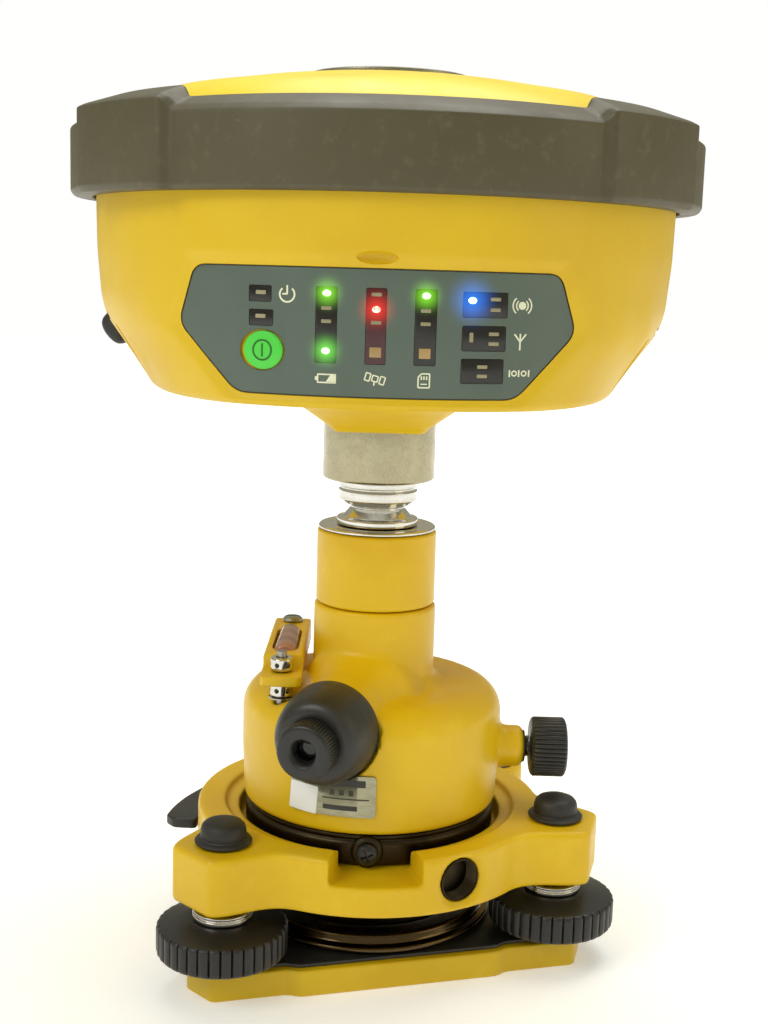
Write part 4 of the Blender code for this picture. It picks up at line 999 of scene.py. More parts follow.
def make_band():
    wide = 768
    rings = []
    for i in range(wide):
        angle = 2 * pi * i / wide
        side = degrees(acos(min(1.0, abs(sin(angle)))))       # degrees from the front or the back
        guard = smooth_step(side, 36.9, 38.7) * (1 - smooth_step(side, 62.2, 64.0))
        cap = smooth_step(side, 38.4, 40.2) * (1 - smooth_step(side, 60.8, 62.6))
        flank = smooth_step(side, 62.6, 64.0)
        outer = ellipse_radius(BAND_A, BAND_B, angle) - 0.35 * flank
        lip = ellipse_radius(LIP_A, LIP_B, angle)
        inner = ellipse_radius(HOUSING_A + 0.6, HOUSING_B + 0.3, angle)
        proud = 2.2 * guard
        profile = [
            (inner, BAND_LOW), (inner, 244.0), (lip, 247.2), (lip, 249.9 + 3.0 * cap),
            (lip + 0.8, 250.5 + 2.9 * cap),
            (outer - 2.2 + 2.2 * guard, 247.7 + 2.5 * guard - 0.3 * flank),
            (outer + proud, 245.9 + 3.2 * guard),
            (outer + proud, BAND_LOW + 1.0 + 0.5 * guard + 0.8 * flank),
            (outer + proud - 0.9, BAND_LOW + 0.5 * flank)]
        profile = rounded(profile, 0.5, 3, closed=True)
        rings.append([(r * cos(angle), r * sin(angle), z) for r, z in profile])
    band = loft("bumper_ring", rings, band_rubber, ring_closed=True, sharp=50.0)
    show(band, "adapter", "grey_rubber", "bumper_band")


def make_dome():
    turns = [2 * pi * i / DOME_SIDES for i in range(DOME_SIDES)]
    sizes = [(r, DOME_TOP - DOME_DROP * r * r) for r in (10, 20, 30, 40, 48, 56, 62)]
    sizes += [(66.0, 256.85), (70.0, 255.3), (73.5, 253.5), (76.4, 251.6), (78.6, 249.6), (80.2, 247.4)]
    rings = [[(r * cos(a), DOME_SQUASH * r * sin(a), z) for a in turns] for r, z in sizes]
    for inset_by, z in ((0.2, 243.4), (0.2, HOUSING_RIM + 1.0), (0.2 + WALL, HOUSING_RIM + 1.0),
                        (0.2 + WALL, 241.0)):
        a, b = HOUSING_A - inset_by, HOUSING_B - inset_by
        rings.append([(a * cos(t), b * sin(t), z) for t in turns])
    for r, z in reversed(sizes[:-3]):
        rings.append([(r * cos(a), DOME_SQUASH * r * sin(a), z - WALL) for a in turns])
    dome = loft("radome", rings, dome_plastic_painted_light, sharp=50.0)
    show(dome, "adapter", "yellow_plastic", "top_dome")
    profile = [(0.0, DOME_TOP + 0.05)] + [(r, DOME_TOP + 0.05 - DOME_DROP * r * r) for r in (8, 16, 24.4)]
    profile += [(24.4, DOME_TOP + 0.1), (24.0, DOME_TOP + 0.35), (17.0, DOME_TOP + 0.5),
                (16.2, DOME_TOP + 0.75), (0.0, DOME_TOP + 0.85)]
    show(turned("top_cap", profile, cap_foil, edge=0.25), "adapter", "label_foil", "top_badge")


# --- the adapter's shapes -------------------------------------------------------------------

ADAPTER_LOW, SEAM, NECK_TOP = 46.6, 108.0, 130.8
ADAPTER_R, LOWER_NECK_R, NECK_R = 40.3, 18.8, 18.3
PLUMMET_Z, PLUMMET_TURN = 77.0, 18.0
TUBE_R, TUBE_END = 13.7, 35.2
SLEEVE_R, SLEEVE_END, EYEPIECE_R, EYEPIECE_END = 14.5, 52.0, 8.2, 60.0
CLAMP = along((1, 0, 0), (0.0, -4.0, 63.5))
CLAMP_BOSS_R, CLAMP_BOSS_END, CLAMP_KNOB_START, CLAMP_KNOB_END, CLAMP_KNOB_R = 6.4, 47.6, 49.8, 60.8, 9.2
VIAL_X, VIAL_HALF_WIDTH, VIAL_HALF_LENGTH = -27.0, 6.0, 29.5
VIAL_LOW, VIAL_TOP, VIAL_LIP_TOP = 87.6, 94.3, 90.6
VIAL_NUT_Y, VIAL_PIVOT_Y, VIAL_NUT_R = -22.5, 24.5, 3.35
PLUMMET_OUT = Vector((*polar(1.0, -90.0 - PLUMMET_TURN), 0.0))
PLUMMET = along(PLUMMET_OUT, (0.0, 0.0, PLUMMET_Z))
SCREW_HOLE_R = 1.9


def make_adapter_body():
    profile = [(0.0, ADAPTER_LOW), (38.7, ADAPTER_LOW), (39.6, 47.5), (ADAPTER_R, 64.0)]
    profile += arc((ADAPTER_R - 9.0, 74.5), 9.0, 0.0, 88.0, 12)
    profile += [(21.4, 84.0), (19.6, 85.2), (LOWER_NECK_R, 87.5), (LOWER_NECK_R, SEAM - 0.9),
                (LOWER_NECK_R - 0.5, SEAM - 0.25), (0.0, SEAM - 0.25)]
    body = turned("adapter_casting", profile, edge=0.8)
    tube = turned("tube", [(0.0, 2.0), (20.5, 2.0), (20.0, 16.5), (17.0, 20.5), (14.8, 26.0),
                           (TUBE_R, TUBE_END - 0.5),
                           (TUBE_R - 0.5, TUBE_END), (0.0, TUBE_END)], place=PLUMMET)
    boss = turned("boss", [(0.0, 32.0), (7.6, 32.0), (CLAMP_BOSS_R, 41.5),
                           (CLAMP_BOSS_R, CLAMP_BOSS_END - 1.4),
                           (CLAMP_BOSS_R - 1.2, CLAMP_BOSS_END - 0.1), (0.0, CLAMP_BOSS_END - 0.1)],
                  place=CLAMP,
                  edge=0.6, steps=SMALL)
    pad = rod("pad", 4.4, 66.0, VIAL_LOW - 0.3, place=at(VIAL_X, VIAL_PIVOT_Y, 0))
    join(body, tube, boss, pad)
    room = box("vial_room", (VIAL_X - VIAL_HALF_WIDTH - 2, -VIAL_HALF_LENGTH - 2, VIAL_LOW - 0.3),
               (VIAL_X + VIAL_HALF_WIDTH + 0.6, VIAL_HALF_LENGTH + 2, VIAL_TOP + 6))
    cut(body, room,
        rod("spindle_flange", 24.5, ADAPTER_LOW - 1, 49.5), rod("spindle_bore", 17.2, 46.0, 67.5),
        rod("tube_bore", 6.6, 8.0, TUBE_END + 2, place=PLUMMET),
        rod("sleeve_room", SLEEVE_R + 0.6, TUBE_END, 60.0, place=PLUMMET),
        rod("shaft_bore", 3.2, 26.0, CLAMP_BOSS_END + 2, place=CLAMP), rod("stud_bore", 5.2, 95.0, SEAM + 2),
        rod("pivot_hole", SCREW_HOLE_R, 72.0, VIAL_TOP, place=at(VIAL_X, VIAL_PIVOT_Y, 0)),
        rod("post_hole", SCREW_HOLE_R, 68.0, VIAL_TOP, place=at(VIAL_X, VIAL_NUT_Y, 0)),
        rod("nut_seat", VIAL_NUT_R + 0.9, VIAL_LOW - 5.1, VIAL_TOP, place=at(VIAL_X, VIAL_NUT_Y, 0)))

    def soft(point):
        along_tube = point.dot(PLUMMET_OUT)
        from_tube = (point - Vector((0, 0, PLUMMET_Z)) - PLUMMET_OUT * along_tube).length
        tube_zone = smooth_step(along_tube, 9.0, 13.0) * (1 - smooth_step(along_tube, 31.0, 34.0))
        tube_zone *= smooth_step(from_tube, 13.6, 15.2) * (1 - smooth_step(from_tube, 21.0, 25.0))
        from_boss = hypot(point.y + 4.0, point.z - 63.5)
        boss_zone = smooth_step(point.x, 36.0, 38.0) * (1 - smooth_step(point.x, 42.0, 43.5))
        boss_zone *= 1 - smooth_step(from_boss, 9.0, 12.0)
        return max(tube_zone, 0.7 * boss_zone) if point.z > 52.0 else 0.0

    cast(body, VOXEL * 1.2, 3, soft)
    show(dressed(body, yellow_paint), "adapter", "yellow_paint", "adapter_body")
    ring = turned("boss_ring", [(3.4, CLAMP_BOSS_END - 0.1), (5.0, CLAMP_BOSS_END - 0.1),
                                (4.9, CLAMP_BOSS_END + 0.35),
                                (3.4, CLAMP_BOSS_END + 0.45)], dark_print_and_gap_shade, CLAMP, SMALL, 0.15)
    show(ring, "adapter", "black_metal")


def make_neck():
    neck = turned("neck_casting", [
        (6.4, SEAM + 0.1), (NECK_R - 0.5, SEAM + 0.1), (NECK_R, SEAM + 0.7), (NECK_R, NECK_TOP - 0.6),
        (NECK_R - 0.6, NECK_TOP), (6.4, NECK_TOP)], yellow_paint, edge=0.5)
    show(neck, "adapter", "yellow_paint", "neck_upper")
    low = NECK_TOP + 0.3
    plate = turned("top_plate_disc", [
        (6.4, low), (17.9, low), (18.0, low + 0.15), (18.0, low + 0.6), (17.5, low + 1.0), (15.4, low + 1.0),
        (15.1, low + 0.8), (14.6, low + 0.8), (14.3, low + 1.0), (6.4, low + 1.0)], chrome, edge=0.12)
    show(plate, "adapter", "chrome", "top_plate")
    seat, sleeve_low = low + 1.3, 146.3
    stud = turned("quick_stud_turned", [
        (0.0, 99.0), (4.8, 99.0), (4.8, SEAM), (6.0, SEAM + 0.2), (6.0, seat), (12.4, seat),
        (12.5, seat + 0.2),
        (12.5, seat + 1.7), (12.2, seat + 2.0), (10.6, seat + 2.3), (8.3, seat + 5.0), (8.3, seat + 5.5),
        (9.6, seat + 6.0), (11.8, seat + 7.5), (12.1, seat + 8.0), (12.1, seat + 10.6), (11.6, seat + 10.9),
        (11.6, seat + 11.5), (12.0, seat + 11.8), (12.0, sleeve_low - 0.3),
        (7.0, sleeve_low - 0.3), (7.0, 157.5), (0.0, 157.5)], chrome, edge=0.3)
    show(stud, "adapter", "chrome", "quick_stud")
    sleeve = turned("steel_sleeve_turned", [
        (0.0, 158.5), (7.3, 158.5), (7.3, sleeve_low), (16.4, sleeve_low), (17.1, sleeve_low + 0.7),
        (17.1, 169.4), (16.8, 169.6), (7.55, 169.6), (7.55, 181.5), (0.0, 181.5)], steel, edge=0.3)
    show(sleeve, "adapter", "steel", "steel_sleeve")


def bend_round(obj, radius, height, step=1.5):
    """Wraps a flat piece, drawn in X and Y with its depth along Z, round the vertical axis at the front."""
    build = bmesh.new()
    build.from_mesh(obj.data)
    low = min(v.co.x for v in build.verts) / MM
    high = max(v.co.x for v in build.verts) / MM
    x = low + step
    while x < high - 0.2:
        bmesh.ops.bisect_plane(build, geom=build.verts[:] + build.edges[:] + build.faces[:],
                               plane_co=(x * MM, 0, 0), plane_no=(1, 0, 0))
        x += step
    for vertex in build.verts:
        u, v, w = vertex.co / MM
        x, y = polar(radius + w, -90.0 + degrees(u / radius))
        vertex.co = Vector((x, y, height + v)) * MM
    build.to_mesh(obj.data)
    build.free()
    return sharpen(obj)


def make_name_plate():
    radius, middle = 40.48, 58.75
    left, right = radians(-34.0) * radius, radians(3.0) * radius
    plate = slab("name_plate_foil", rectangle(left, right, -6.25, 6.25, 1.2), 0.0, 0.4, label_foil,
                 edge_high=0.1)
    bend_round(plate, radius, middle)
    cut(plate, rod("plate_corner", SLEEVE_R + 0.5, 30.0, 60.0, place=PLUMMET))
    show(dressed(plate, label_foil), "adapter", "label_foil", "name_plate")
    prints = [("bar", rectangle(-12.4, -0.9, 2.9, 5.0, 0.2)),
              ("line", rectangle(-13.6, 0.2, -1.0, -0.6, 0.1)),
              ("foot", rectangle(-13.4, -3.2, -4.3, -2.8, 0.2))]
    prints += [(f"dash_{i}", rectangle(x, x + 1.4, 0.2, 1.9, 0.2))
               for i, x in enumerate((-11.4, -8.6, -5.8))]
    for name, outline in prints:
        piece = slab(f"plate_{name}", outline, 0.36, 0.43, dark_print_and_gap_shade)
        show(bend_round(piece, radius, middle), "adapter", "label_foil")
    tilt = radians(-4)
    corners = [(x * cos(tilt) - y * sin(tilt) - 19.7, x * sin(tilt) + y * cos(tilt) - 1.9)
               for x, y in rectangle(-4.5, 4.5, -4.2, 4.2, 0.3)]
    show(bend_round(slab("blank_sticker", corners, 0.38, 0.52, white_sticker, edge_high=0.05), radius,
                    middle),
         "adapter", "label_foil")


def make_plummet():
    sleeve = turned("plummet_cover", [
        (7.0, TUBE_END + 0.3), (SLEEVE_R - 0.5, TUBE_END + 0.3), (SLEEVE_R, TUBE_END + 0.9), (14.5, 39.0),
        (14.2, 43.0),
        (13.6, 46.4), (12.8, 49.2), (11.6, 51.0), (10.0, 51.9), (7.0, SLEEVE_END)], sleeve_black, PLUMMET,
                    edge=0.9)
    show(sleeve, "adapter", "black_plastic", "plummet_sleeve")

    start, end = SLEEVE_END + 0.3, EYEPIECE_END
    rings = []
    for reach, z, depth in ((EYEPIECE_R - 0.9, start, 0.0), (EYEPIECE_R - 0.35, start + 0.25, 0.1),
                            (EYEPIECE_R, start + 0.8, 0.42), (EYEPIECE_R, end - 1.1, 0.42),
                            (EYEPIECE_R - 0.25, end - 0.55, 0.2), (EYEPIECE_R - 0.65, end - 0.2, 0.0),
                            (EYEPIECE_R - 1.2, end, 0.0), (4.3, end, 0.0), (4.0, end - 0.15, 0.0),
                            (3.2, end - 1.8, 0.0), (3.0, end - 2.2, 0.0), (3.0, 56.8, 0.0), (4.1, 56.6, 0.0),
                            (4.1, 41.0, 0.0), (6.4, 41.0, 0.0), (6.4, start, 0.0)):
        rings.append(ribbed_ring(reach, z, 56, depth, 6, 0.7))
    knob = loft("eyepiece_ring", rings, knob_plastic, PLUMMET, ring_closed=True)
    show(knob, "eyepiece", "black_plastic", "eyepiece_knob")
    field = turned("eyepiece_field", [(0.0, 52.0), (3.9, 52.6), (3.9, 55.2), (2.6, 55.8), (0.0, 56.0)],
                   eye_glass,
                   PLUMMET, FINE)
    show(field, "eyepiece", "glass", "eyepiece_lens")


def make_clamp():
    shaft = turned("clamp_shaft_turned", [(0.0, 27.5), (2.8, 27.5), (2.8, 46.0), (2.1, 46.2), (2.1, 49.1),
                                          (0.0, 49.4)], chrome, CLAMP, SMALL, 0.2)
    show(shaft, "clamp", "steel", "clamp_shaft")
    spring = helix("clamp_spring", 3.0, 0.3, CLAMP_BOSS_END + 0.45, 0.62, 2.2, spring_steel, CLAMP, 24, 8)
    show(spring, "clamp", "steel")
    start, end, reach = CLAMP_KNOB_START, CLAMP_KNOB_END, CLAMP_KNOB_R
    rings = []
    for r, z, depth in ((0.4, start, 0.0), (reach - 1.3, start, 0.0), (reach - 0.5, start + 0.35, 0.1),
                        (reach, start + 0.9, 0.55),
                        (reach, end - 0.9, 0.55), (reach - 0.5, end - 0.35, 0.1), (reach - 1.3, end, 0.0),
                        (5.6, end, 0.0), (5.2, end - 0.4, 0.0), (0.4, end - 0.4, 0.0)):
        rings.append(ribbed_ring(r, z, 40, depth, 6, 0.6))
    show(loft("clamp_knob_ribbed", rings, knob_plastic, CLAMP), "clamp", "black_plastic", "clamp_knob")


def make_vial():
    x, half, length = VIAL_X, VIAL_HALF_WIDTH, VIAL_HALF_LENGTH
    outline = rectangle(x - half, x + half, -length, length, 1.6)
    holder = slab("vial_frame", outline, VIAL_LOW, VIAL_TOP, edge_low=0.5, edge_high=0.9)
    window = [(x + px, py) for px, py in arc((0, 11.0), 4.0, 0, 180, 16) + arc((0, -9.0), 4.0, 180, 360, 16)]
    cut(holder,
        box("lip", (x - half - 1, -length - 1, VIAL_LIP_TOP), (x + half + 1, -17.0, VIAL_TOP + 1), edge=0.6),
        slab("window", window, VIAL_LOW + 0.9, VIAL_TOP + 1),
        rod("holder_screw", 2.0, VIAL_LOW - 1, VIAL_TOP + 1, place=at(x, VIAL_PIVOT_Y, 0)),
        rod("holder_post", 2.3, VIAL_LOW - 1, VIAL_TOP + 1, place=at(x, VIAL_NUT_Y, 0)))
    show(dressed(bevelled(holder, 0.35, 2), yellow_paint), "vial", "yellow_paint", "vial_holder")
    lying = along((0, 1, 0), (x, 1.0, VIAL_LOW + 4.9))
    tube = turned("vial_glass_tube", [(0.0, -13.6), (2.8, -13.4), (3.65, -12.5), (3.65, 12.5), (2.8, 13.4),
                                      (0.0, 13.6)], vial_glass, lying, SMALL, 0.5)
    show(tube, "vial", "glass", "vial_tube")
    fluid = turned("vial_fluid", [(0.0, -12.4), (2.4, -12.2), (2.9, -11.4), (2.9, 11.4), (2.4, 12.2),
                                  (0.0, 12.4)],
                   vial_pink, lying, SMALL)
    show(fluid, "vial", "glass")
    for sign in (-1, 1):
        for offset in (3.6, 5.6):
            middle = sign * offset
            mark = turned("vial_mark", [(3.0, middle - 0.15), (3.12, middle - 0.15), (3.12, middle + 0.15),
                                        (3.0, middle + 0.15)], dark_print_and_gap_shade, lying, SMALL)
            mark.name = f"vial_mark_{'front' if sign < 0 else 'back'}_{int(offset)}"
            show(mark, "vial", "black_metal")
    pivot = turned("vial_pivot", [
        (0.0, 73.0), (1.5, 73.0), (1.5, VIAL_TOP + 0.3), (3.2, VIAL_TOP + 0.3), (3.2, VIAL_TOP + 1.1),
        (2.4, VIAL_TOP + 1.85), (0.0, VIAL_TOP + 1.9)], place=at(x, VIAL_PIVOT_Y, 0), steps=SMALL, edge=0.2)
    cut(pivot, box("slot", (-4.0, -0.4, VIAL_TOP + 1.1), (4.0, 0.4, VIAL_TOP + 3),
                   place=at(x, VIAL_PIVOT_Y, 0)))
    show(dressed(sharpen(pivot), dull_steel), "adapter", "steel", "vial_pivot_screw")
    washer = turned("vial_spring_washer", [(1.8, -4.95), (3.9, -4.95), (3.9, -4.6), (1.8, -4.6)],
                    spring_steel,
                    at(x, VIAL_NUT_Y, VIAL_LOW), SMALL)
    show(washer, "nut_lower", "steel")
    for name, low in (("nut_upper", VIAL_LIP_TOP + 0.3), ("nut_lower", VIAL_LOW - 0.3 - 4.2)):
        nut = turned(f"vial_{name}_capstan", [
            (1.8, low), (VIAL_NUT_R - 0.5, low), (VIAL_NUT_R, low + 0.5), (VIAL_NUT_R, low + 3.7),
            (VIAL_NUT_R - 0.5, low + 4.2), (1.8, low + 4.2)], place=at(x, VIAL_NUT_Y, 0), steps=SMALL,
                     edge=0.2)
        for angle in (8.0, 68.0, 128.0):
            across = along(Vector((*polar(1.0, angle), 0.0)), (x, VIAL_NUT_Y, low + 2.1))
            cut(nut, rod("capstan_hole", 0.75, -5.0, 5.0, place=across, steps=FINE))
        show(dressed(sharpen(nut), chrome), name, "steel", f"vial_{name}")


vial_pink = moulding("vial_pink", (232, 190, 176), (214, 168, 156), (246, 222, 210), 0.25, 0.5, 0.004)


# --- the tribrach's shapes ------------------------------------------------------------------

TRIBRACH_TURN, FOOT_CIRCLE = 15.5, 59.3
FEET = {"a": 210.0, "b": 330.0, "c": 90.0}
PLATE_TOP = 8.0
BODY_LOW, BODY_TOP, BODY_RING_R = 27.5, 44.5, 54.0
LOBE_END, LOBE_HALF, LOBE_SLOPE = 71.4, 11.0, 0.2
SEAT_R, SEAT_STEP_R, SEAT_LOW, SEAT_STEP = 41.0, 45.3, 36.7, 42.4
PORT_ANGLE, PORT_Z = -59.0, 36.4
LEVEL = at(*polar(57.5, 45.5), 0)


def foot_place(foot):
    return at(*polar(FOOT_CIRCLE, FEET[foot] + TRIBRACH_TURN), 0)


def plate_outline(edge=0.0):
    """The base plate: three long sides with proud middles, and three cut corners."""
    side, proud = 39.2 - edge, 41.2 - edge
    half = (68.0 - edge - side * cos(radians(60))) / sin(radians(60))
    stretch = ((-half, side), (-33.6, side), (-30.4, proud), (30.4, proud), (33.6, side), (half, side))
    outline = []
    for facing in (270.0, 30.0, 150.0):
        for t, distance in stretch:
            x, y = polar(distance, facing)
            outline.append((x + t * cos(radians(facing + 90)), y + t * sin(radians(facing + 90))))
    return rounded(turned_about(outline, TRIBRACH_TURN), 1.6, 4, closed=True)


def body_outline():
    """A ring with three lobes, each a rounded block with hollow fillets into the ring."""
    outline = []
    steps = 1080
    for i in range(steps):
        angle = 360.0 * i / steps
        reach = BODY_RING_R
        for facing in FEET.values():
            off = radians(abs((angle - facing + 180.0) % 360.0 - 180.0))
            if off < radians(40.0):
                end = LOBE_END / cos(off)
                side = (LOBE_HALF + LOBE_END * LOBE_SLOPE) / (sin(off) + LOBE_SLOPE * cos(off))
                lobe = soft_min(end, side, 12.0)
                reach = -soft_min(-reach, -lobe, 11.0)
        outline.append(polar(reach, angle))
    return turned_about(outline, TRIBRACH_TURN)


def make_base():
    plate = slab("base_casting", plate_outline(), 0.0, PLATE_TOP, edge_low=0.6, edge_high=0.7)
    cut(plate, rod("base_bore", 11.0, -1.0, PLATE_TOP + 1.0))
    for foot in FEET:
        cut(plate, rod("socket", 5.6, 2.5, PLATE_TOP + 1.0, place=foot_place(foot)))
    show(dressed(sharpen(plate), plate_paint), "base", "yellow_paint", "base_plate")

    low, high = PLATE_TOP + 0.3, PLATE_TOP + 1.2
    sheet = slab("spring_sheet", plate_outline(2.0), low, high, edge_high=0.25)
    cut(sheet, rod("sheet_bore", 20.0, low - 1, high + 1))
    for foot in FEET:
        cut(sheet, rod("sheet_hole", 4.5, low - 1, high + 1, place=foot_place(foot)))
    show(dressed(sharpen(sheet), sheet_black), "base", "black_sheet", "spring_plate")

    low = high + 0.3
    ring = turned("centre_ring_turned", [
        (19.0, low), (38.4, low), (39.2, low + 0.7), (39.2, low + 1.6), (38.6, low + 2.1), (37.2, low + 2.3),
        (36.8, low + 2.9), (36.4, low + 4.4), (35.6, low + 5.1), (31.0, low + 5.2), (30.6, low + 4.9),
        (29.8, low + 4.9), (29.4, low + 5.2), (19.0, low + 5.2)], ring_dark, edge=0.3)
    show(ring, "base", "black_metal", "centre_ring")


def make_feet():
    for foot in FEET:
        place = foot_place(foot)
        screw = turned(f"foot_screw_{foot}_turned", [
            (0.0, 2.9), (3.4, 2.9), (4.6, 3.7), (5.0, 5.0), (4.8, 6.2), (3.6, 7.6), (3.6, 22.3), (8.6, 22.3),
            (8.8, 22.5), (8.8, 23.4), (8.3, 23.7), (8.3, 24.0), (8.8, 24.3), (8.8, 24.8), (8.3, 25.1),
            (4.0, 25.1),
            (4.0, 39.0), (3.4, 39.5), (0.0, 39.5)], chrome, place, SMALL, 0.2)
        show(screw, f"foot_{foot}", "chrome", f"foot_screw_{foot}")
        reach, low, high = 19.2, 11.5, 22.0
        rings = []
        for r, z, depth in ((3.95, low, 0.0), (reach - 1.6, low, 0.0), (reach - 0.7, low + 0.2, 0.3),
                            (reach - 0.1, low + 0.9, 0.9),
                            (reach, low + 1.6, 1.0), (reach, high - 2.6, 1.0),
                            (reach - 0.2, high - 2.1, 0.9),
                            (reach - 0.75, high - 1.75, 0.3), (reach - 1.4, high - 1.6, 0.0),
                            (reach - 4.0, high - 1.15, 0.0),
                            (11.2, high - 0.25, 0.0), (9.9, high, 0.0), (3.95, high, 0.0)):
            rings.append(ribbed_ring(r, z, 36, depth, 10, 0.28))
        knob = loft(f"foot_knob_{foot}_ribbed", rings, knob_plastic, place, ring_closed=True)
        show(knob, f"foot_{foot}", "black_plastic", f"foot_knob_{foot}")
        top = BODY_TOP + 0.3
        rings = []
        for r, z, depth in ((0.3, 42.3, 0.0), (4.1, 42.3, 0.0), (4.1, top, 0.0), (7.6, top, 0.0),
                            (8.2, top + 0.3, 0.0), (8.3, top + 0.8, 0.0),
                            (7.9, top + 1.25, 0.0), (6.9, top + 1.45, 0.0), (6.6, top + 1.8, 0.0),
                            (6.7, top + 2.2, 0.0),
                            (6.6, top + 4.0, 0.0), (6.25, top + 5.2, 0.0), (5.5, top + 6.0, 0.0),
                            (4.3, top + 6.5, 0.0),
                            (2.6, top + 6.75, 0.0), (0.3, top + 6.85, 0.0)):
            rings.append(ribbed_ring(r, z, 48, depth, 6, 0.6))
        show(loft(f"foot_cap_{foot}_moulded", rings, soft_rubber, place), "tribrach", "black_rubber",
             f"foot_cap_{foot}")


def make_tribrach_body():
    body = slab("tribrach_casting", body_outline(), BODY_LOW, BODY_TOP, edge_low=1.3, edge_high=1.5)
    join(body, turned("level_boss", [(0.0, BODY_LOW + 2), (11.0, BODY_LOW + 2), (12.0, BODY_LOW + 3),
                                     (12.0, BODY_TOP - 2.3), (11.2, BODY_TOP - 1.5), (0.0, BODY_TOP - 1.5)],
                      place=LEVEL, edge=0.6, steps=SMALL))
    seat = turned("seat", [(0.0, SEAT_LOW), (SEAT_R, SEAT_LOW), (SEAT_R, SEAT_STEP - 0.3),
                           (SEAT_R + 0.3, SEAT_STEP),
                           (SEAT_STEP_R, SEAT_STEP + 0.1), (SEAT_STEP_R, BODY_TOP - 0.5),
                           (SEAT_STEP_R + 0.8, BODY_TOP + 0.1), (SEAT_STEP_R + 0.9, BODY_TOP + 2),
                           (0.0, BODY_TOP + 2)])
    cut(body, seat, rod("sight", 16.0, BODY_LOW - 1, BODY_TOP, steps=ROUND),
        rod("lock_pocket", 44.0, BODY_LOW - 1, 34.4, steps=ROUND),
        rod("level_bore", 9.3, 34.0, BODY_TOP + 1, place=LEVEL))
    notch = sector("notch", SEAT_R - 2, BODY_RING_R + 8, -101.6, -72.3, SEAT_LOW, BODY_TOP + 1)
    cut(body, notch, sector("lever_slot", 42.0, BODY_RING_R + 4, 131.0, 199.0, 29.4, 33.9))
    for foot in FEET:
        cut(body, turned("lobe_bore", [(0.0, BODY_LOW - 1), (5.9, BODY_LOW - 1), (5.9, BODY_LOW),
                                       (4.9, BODY_LOW + 1.0), (4.9, BODY_TOP + 1),
                                       (0.0, BODY_TOP + 1)], place=foot_place(foot), steps=SMALL))
    for angle in (90.0, 210.0, 330.0):
        cut(body, rod("stud_hole", 5.3, 32.4, SEAT_LOW + 2, place=at(*polar(28.0, angle), 0)))
    outward = Vector((*polar(1.0, PORT_ANGLE), 0.0))
    port = along(outward, outward * 47.3 + Vector((0, 0, PORT_Z)))
    cut(body, turned("port", [(0.0, 0.0), (6.5, 0.0), (6.5, 5.3), (7.7, 5.6), (7.9, 5.8), (7.9, 12.0),
                              (0.0, 12.0)],
                     place=port, steps=SMALL))
    for foot_turn, across, z in ((0.0, -6.0, 34.6), (0.0, 6.6, 33.2)):
        facing = Vector((*polar(1.0, FEET["a"] + TRIBRACH_TURN + foot_turn), 0.0))
        side = Vector((-facing.y, facing.x, 0.0))
        cut(body, rod("pin_hole", 0.8, -3.0, 2.0, place=along(facing, facing * LOBE_END + side * across
                                                             + Vector((0, 0, z))), steps=FINE))
    cast(body, VOXEL * 1.3, 3)
    show(dressed(body, yellow_paint), "tribrach", "yellow_paint", "tribrach_body")
    thread = [(5.5 + 0.5 * (i % 2), 0.3 + 0.42 * i) for i in range(12)]
    show(turned("port_insert", [(0.0, 0.1), (6.3, 0.1), (6.3, 5.2), (5.9, 5.4), *reversed(thread),
                                (0.0, 0.3)],
                flange_dark, port, SMALL), "tribrach", "black_metal")

    cup = turned("level_cup", [(0.0, 34.4), (9.0, 34.4), (9.0, 47.0), (8.5, 47.7), (7.6, 47.8), (6.6, 47.5),
                               (6.6, 38.0), (0.0, 38.0)], dull_steel, LEVEL, SMALL, 0.3)
    show(cup, "tribrach", "steel", "circular_level_cup")
    glass = turned("level_window", [(0.0, 45.2), (6.2, 45.2), (6.2, 46.4), (4.0, 47.0), (0.0, 47.2)],
                   clear_glass,
                   LEVEL, SMALL)
    show(glass, "tribrach", "glass", "circular_level_glass")
    show(turned("level_fluid", [(0.0, 38.4), (6.2, 38.4), (6.2, 45.0), (0.0, 45.0)], level_fluid, LEVEL,
                SMALL, 0.3),
         "tribrach", "glass")
    show(turned("level_circle", [(2.6, 45.02), (2.9, 45.02), (2.9, 45.12), (2.6, 45.12)], dark_print_and_gap_shade, LEVEL,
                SMALL),
         "tribrach", "black_metal")
    show(turned("level_bubble", [(0.0, 44.6), (1.7, 44.7), (2.2, 45.0), (1.9, 45.1), (0.0, 45.14)],
                lamp_off, LEVEL, SMALL),
         "tribrach", "glass")


level_fluid = moulding("level_fluid", (196, 214, 120), (170, 190, 96), (222, 232, 160), 0.2, 0.6, 0.003)


def make_lever():
    inner, wall, outer = 43.7, 55.6, 66.0
    outline = arc((0, 0), inner, 168.0, 150.0, 6) + [polar(wall, 150.0), polar(wall, 142.0),
                                                     polar(61.0, 141.0)]
    outline += arc((0, 0), outer, 145.0, 174.0, 16) + [polar(63.0, 177.0), polar(wall, 177.0),
                                                       polar(wall, 168.0)]
    area = sum(a[0] * b[1] - b[0] * a[1] for a, b in zip(outline, outline[1:] + outline[:1]))
    outline = outline if area > 0 else outline[::-1]
    lever = slab("lock_lever_moulded", rounded(outline, 1.6, 4, closed=True), 30.0, 33.2, edge_low=0.5,
                 edge_high=0.7)
    for angle in range(146, 174, 3):
        cut(lever, rod("grip", 0.5, 28.0, 36.0, place=at(*polar(66.2, angle), 0), steps=16))
    show(dressed(sharpen(lever), black_plastic), "lock", "black_plastic", "lock_lever")


